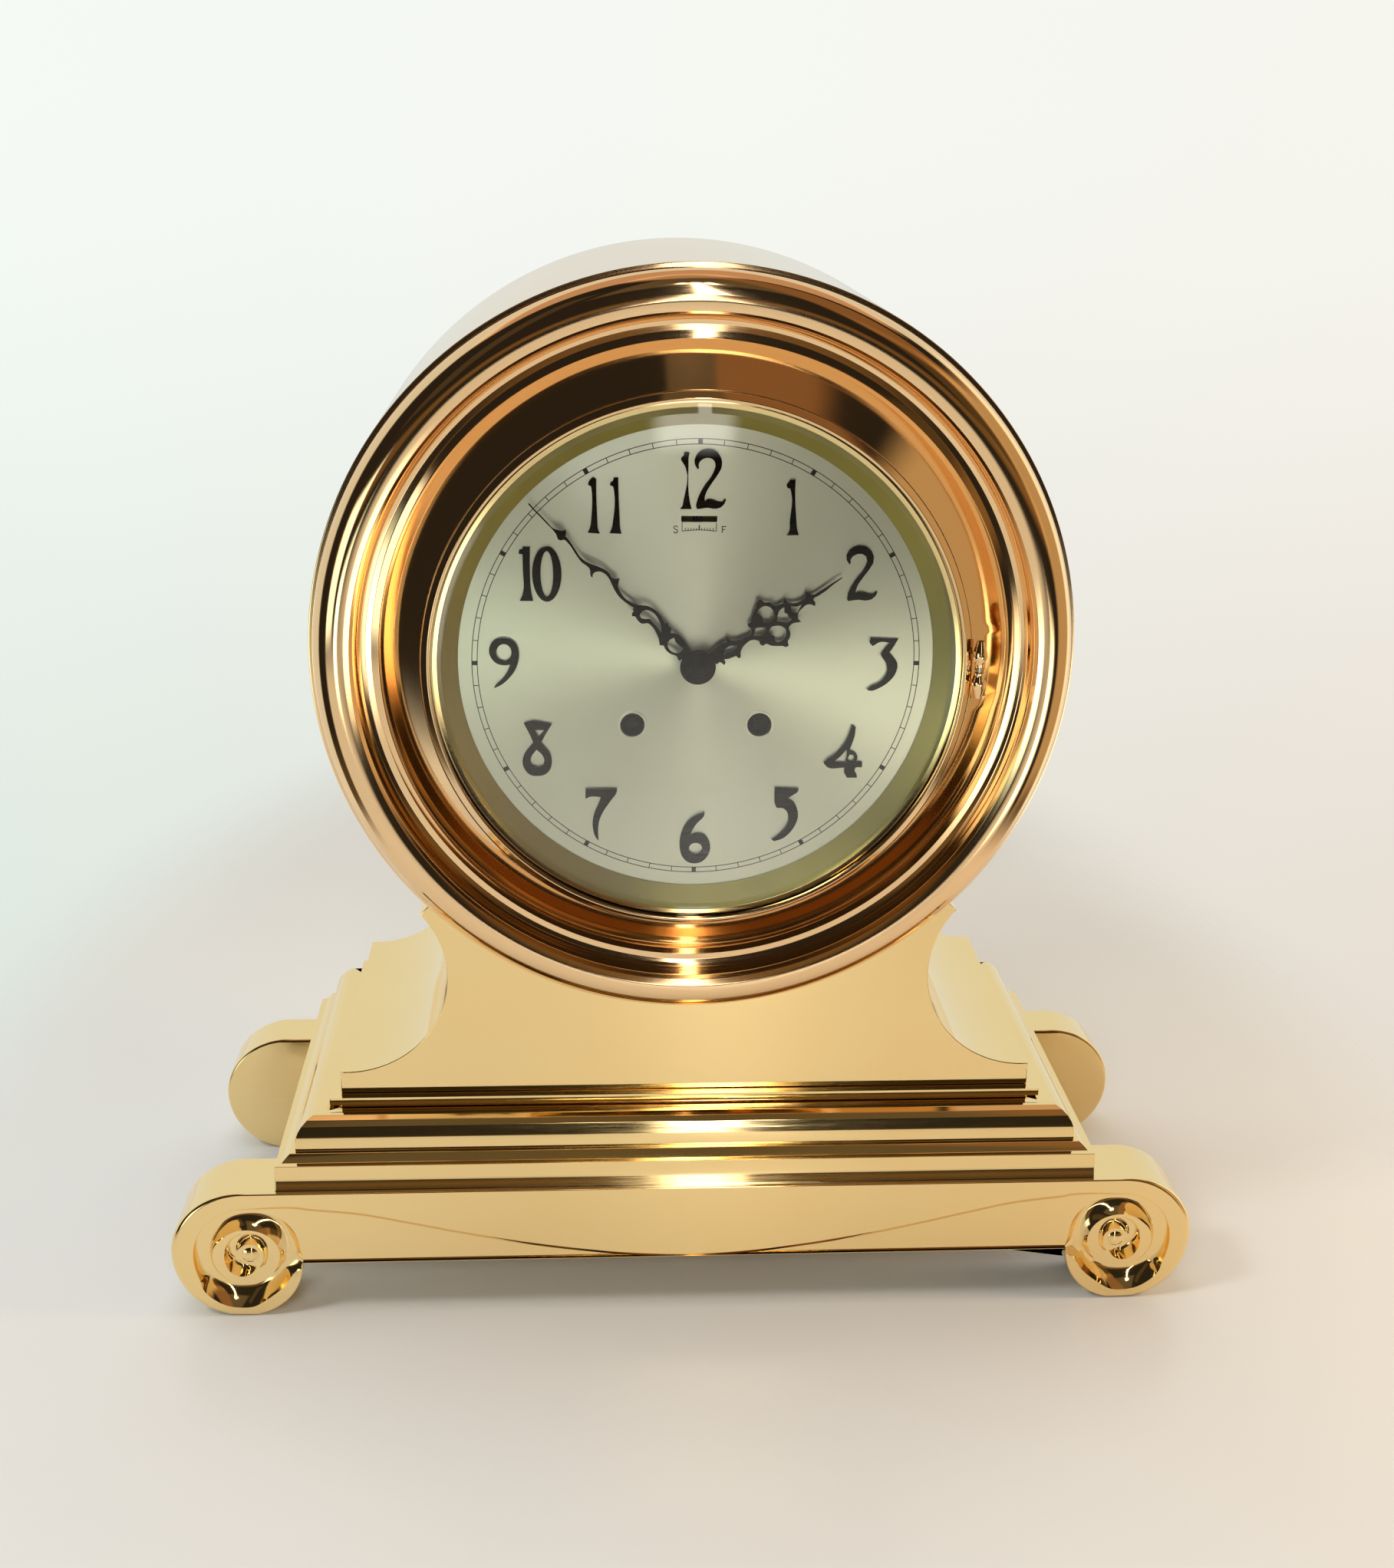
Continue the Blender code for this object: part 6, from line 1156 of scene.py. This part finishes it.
def hands():
    minute = (MINUTE_ANGLE, MINUTE_SHAPE, MINUTE_WINDOWS)
    hour = (HOUR_ANGLE, HOUR_SHAPE, HOUR_WINDOWS)
    hand("minute_pointer", *minute, 3.0, -6.6, "minute_arbor", "minute_hand")
    hand("hour_pointer", *hour, 4.6, -4.2, "hour_arbor", "hour_hand")
    nut = [
        (0.0, -9.3), (1.6, -9.25), (2.9, -9.0), (3.7, -8.6), (4.1, -8.1), (4.1, -7.9), (5.6, -7.85),
        (5.9, -8.15), (7.3, -8.1), (8.1, -7.6), (8.1, -7.2), (2.4, -7.2), (2.4, -8.6), (0.0, -8.6),
    ]
    small = {"ease": 0.2, "count": 96, "closed": False}
    lathe("hand_nut_cap", nut, "bronzed_steel", "minute_arbor", ["hand_nut"], **small)


hands()


# Back

COVER = ((0.0, 180.6), (171.4, 180.6), (171.4, 183.0), (0.0, 183.0))


def back():
    lathe("cover_plate", COVER, "rosy_bronze", "case", ["back_cover"], ease=0.4, closed=False)


back()


def finish_kept_nodes():
    """The clock's other metal keeps the CAD meshes, in the finish of its slot, but for the winding
    arbors.
    """
    for name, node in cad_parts.items():
        for index, slot in enumerate(node.material_slots):
            base = slot.material.name.split(".")[0] if slot.material else "movement_brass"
            # The winding arbors take the dark bronzed finish: painted shade that keeps the winding holes
            # black.
            finish = "bronzed_steel" if name.endswith("winding_arbor") else base
            node.material_slots[index].material = FINISH.get(finish, FINISH["movement_brass"])


finish_kept_nodes()


# Floor, lights, camera


def studio_floor():
    material, tree = new_material("studio_floor")
    place = add(tree, "TexCoord")
    grain = add(tree, "TexNoise", {"Scale": 1 / (200 * MM), "Detail": 3}, [("Vector", place, "Object")])
    tones = {"data_type": "RGBA", 6: linear("#E4E9EA"), 7: linear("#DFE4E4")}
    tone = add(tree, "Mix", tones, [(0, grain, "Fac")])
    board = add(tree, "BsdfPrincipled", {"Roughness": 0.25, "IOR": 1.4}, [("Base Color", tone, 2)])
    # The board fades into the open backdrop, so no far edge shows.
    narrowed = add(tree, "VectorMath", {"operation": "MULTIPLY", 1: (2, 1, 1)}, [(0, place, "Object")])
    reach = add(tree, "VectorMath", {"operation": "LENGTH"}, [(0, narrowed, 0)])
    edge = {"From Min": 0.72, "From Max": 1.05, "interpolation_type": "SMOOTHSTEP"}
    fade = add(tree, "MapRange", edge, [("Value", reach, "Value")])
    clear = add(tree, "BsdfTransparent")
    mixed = add(tree, "MixShader", (), [(0, fade, 0), (1, board, 0), (2, clear, 0)])
    add(tree, "OutputMaterial", (), [("Surface", mixed, 0)])
    bm = bmesh.new()
    bmesh.ops.create_grid(bm, x_segments=8, y_segments=8, size=3.0)
    mesh = bpy.data.meshes.new("floor")
    bm.to_mesh(mesh)
    bm.free()
    mesh.materials.append(material)
    in_scene("floor", mesh)


# What the metal mirrors: azimuth from the front toward the right with its half width, lowest and highest
# elevation, softness of the edges, all in degrees, then colour and strength.
CARDS = (
    ("back_wall", -174, 80, -90, 52, 9, "#F0F4EE", 0.86),
    ("back_ceiling", 180, 92, 50, 84, 8, "#C8A486", 0.95),
    ("right_room", 92, 38, -34, 35, 12, "#FFD9A0", 0.5),
    ("left_window", -45, 12, -12, 8, 5, "#EEF8F0", 2.0),
    ("left_glow", -17, 6, -17, -9, 5, "#E8FAEC", 3.2),
    ("right_glow", 26, 8, -26, -13, 5, "#FFF6E0", 2.8),
    ("left_low", -95, 40, -80, -30, 12, "#4E4127", 1.0),
    ("right_low", 95, 40, -80, -40, 12, "#5A4526", 1.0),
    ("ceiling", 0, 200, 80, 100, 6, "#B08E72", 1.0),
    ("upper_room", 4, 26, 48, 80, 6, "#564A36", 1.0),
    ("cupboard_right", 52, 22, 30, 80, 6, "#93683F", 0.75),
    ("tall_window", 4.6, 1.3, 14, 60, 0.7, "#FFFBF2", 6.0),
    ("low_window", 3.4, 1.1, -9, 14, 0.7, "#FFFBF2", 3.2),
    ("small_lamp_right", 8.8, 0.7, 52, 60, 0.5, "#FFF8E8", 14.0),
    ("small_lamp_left", 0.4, 1.2, 54, 59, 0.8, "#FFF6E4", 6.0),
    ("wood_right", 48, 16, 2, 40, 5, "#80602E", 0.3),
    ("wood_left", -40, 9, 20, 62, 3, "#5A4A34", 0.45),
    ("room_low", 0, 62, -1, 9, 6, "#674C27", 1.0),
    ("far_table", -10, 48, -60, -14, 8, "#D8D4CA", 1.05),
)


def surroundings():
    """A dark room in front, a bright sweep behind; the camera itself sees only the sweep, with shade and
    light painted on it.
    """
    world = bpy.data.worlds.new("studio")
    bpy.context.scene.world = world
    world.use_nodes = True
    tree = world.node_tree
    tree.nodes.clear()
    place = add(tree, "TexCoord")
    parts = add(tree, "SeparateXYZ", (), [(0, place, "Generated")])
    ahead = add(tree, "Math", {"operation": "MULTIPLY", 1: -1.0}, [(0, parts, "Y")])
    turn = add(tree, "Math", {"operation": "ARCTAN2"}, [(0, parts, "X"), (1, ahead, 0)])
    rise = add(tree, "Math", {"operation": "ARCSINE"}, [(0, parts, "Z")])

    def window(angle, centre, half, soft, around):
        away = add(tree, "Math", {"operation": "SUBTRACT", 1: math.radians(centre)}, [(0, angle, 0)])
        if around:
            away = add(tree, "Math", {"operation": "WRAP", 1: math.pi, 2: -math.pi}, [(0, away, 0)])
        away = add(tree, "Math", {"operation": "ABSOLUTE"}, [(0, away, 0)])
        edge = {"From Min": math.radians(half + soft / 2), "From Max": math.radians(half - soft / 2)}
        edge["interpolation_type"] = "SMOOTHSTEP"
        return add(tree, "MapRange", edge, [("Value", away, 0)])

    total = add(tree, "RGB")
    total.outputs[0].default_value = linear("#2A2620")
    for _, azimuth, half, low, high, soft, colour, strength in CARDS:
        wide = window(turn, azimuth, half, soft, True)
        tall = window(rise, (low + high) / 2, (high - low) / 2, soft, False)
        share = add(tree, "Math", {"operation": "MULTIPLY"}, [(0, wide, 0), (1, tall, 0)])
        level = add(tree, "Math", {"operation": "MULTIPLY", 1: strength}, [(0, share, 0)])
        scaled = {"operation": "SCALE", 0: linear(colour)[:3]}
        lit = add(tree, "VectorMath", scaled, [("Scale", level, 0)])
        total = add(tree, "VectorMath", {"operation": "ADD"}, [(0, total, 0), (1, lit, 0)])
    reflected = add(tree, "Background", (), [("Color", total, 0)])
    # Painted shade and light on the sweep the camera sees: darker toward its foot, cool at the left, warm
    # at the right.
    across = add(tree, "MapRange", {"From Min": -0.3, "From Max": 0.4}, [("Value", parts, "X")])
    edge = {"From Min": -0.42, "From Max": 0.02, "interpolation_type": "SMOOTHSTEP"}
    height = add(tree, "MapRange", edge, [("Value", parts, "Z")])
    lower, upper = (
        add(tree, "Mix", {"data_type": "RGBA", 6: linear(left), 7: linear(right)}, [(0, across, 0)])
        for left, right in (("#E0EAE2", "#E8DFD4"), ("#F5FAF6", "#F6F5EE"))
    )
    sweep = add(tree, "Mix", {"data_type": "RGBA"}, [(0, height, 0), (6, lower, 2), (7, upper, 2)])
    seen = add(tree, "Background", (), [("Color", sweep, 2)])
    path = add(tree, "LightPath")
    chosen = add(tree, "MixShader", (), [(0, path, "Is Camera Ray"), (1, reflected, 0), (2, seen, 0)])
    add(tree, "OutputWorld", (), [("Surface", chosen, 0)])
    bpy.context.scene.view_settings.view_transform = "Standard"


def lamp(name, place, aim, size, watts, colour):
    data = bpy.data.lights.new(name, "AREA")
    data.shape = "DISK"
    data.size = size
    data.energy = watts
    data.color = linear(colour)[:3]
    source = in_scene(name, data)
    source.location = place
    source.rotation_euler = (Vector(aim) - Vector(place)).to_track_quat("-Z", "Y").to_euler()
    # The metal mirrors the cards, not the lamps.
    source.visible_glossy = False
    source.visible_camera = False


def lights():
    lamp("softbox_above", (-0.3, -0.1, 2.2), (0, 0, 0), 1.6, 13, "#F2F8FF")
    lamp("lamp_left", (-1.2, -0.7, 1.6), (0, 0, 0.1), 0.4, 10, "#FFF8F0")
    lamp("lamp_front", (-0.5, -2.0, 1.1), (0, 0, 0), 0.8, 11, "#F6F9FF")
    lamp("lamp_right", (1.0, -0.2, 0.6), (0.45, -0.1, 0.0), 0.25, 3.6, "#FFCB8A")


# Turned to the right, down and over, in degrees, and the place in metres.
CAMERA_TURNS = (3.907, 18.620, 1.031)
CAMERA_PLACE = (-0.05348, -0.94431, 0.56614)
LENS_MM = 44.95
LENS_SHIFT = (-0.005925, -0.003293)


def camera():
    yaw, pitch, roll = (math.radians(v) for v in CAMERA_TURNS)
    forward = Vector((math.sin(yaw) * math.cos(pitch), math.cos(yaw) * math.cos(pitch), -math.sin(pitch)))
    right = Vector((math.cos(yaw), -math.sin(yaw), 0.0))
    up = right.cross(forward)
    across = math.cos(roll) * right + math.sin(roll) * up
    upward = -math.sin(roll) * right + math.cos(roll) * up
    data = bpy.data.cameras.new("camera")
    data.sensor_width = 36.0
    data.lens = LENS_MM
    data.shift_x, data.shift_y = LENS_SHIFT
    view = in_scene("camera", data)
    turn = Matrix((across, upward, -forward)).transposed().to_4x4()
    view.matrix_world = Matrix.Translation(CAMERA_PLACE) @ turn
    bpy.context.scene.camera = view


studio_floor()
surroundings()
lights()
camera()
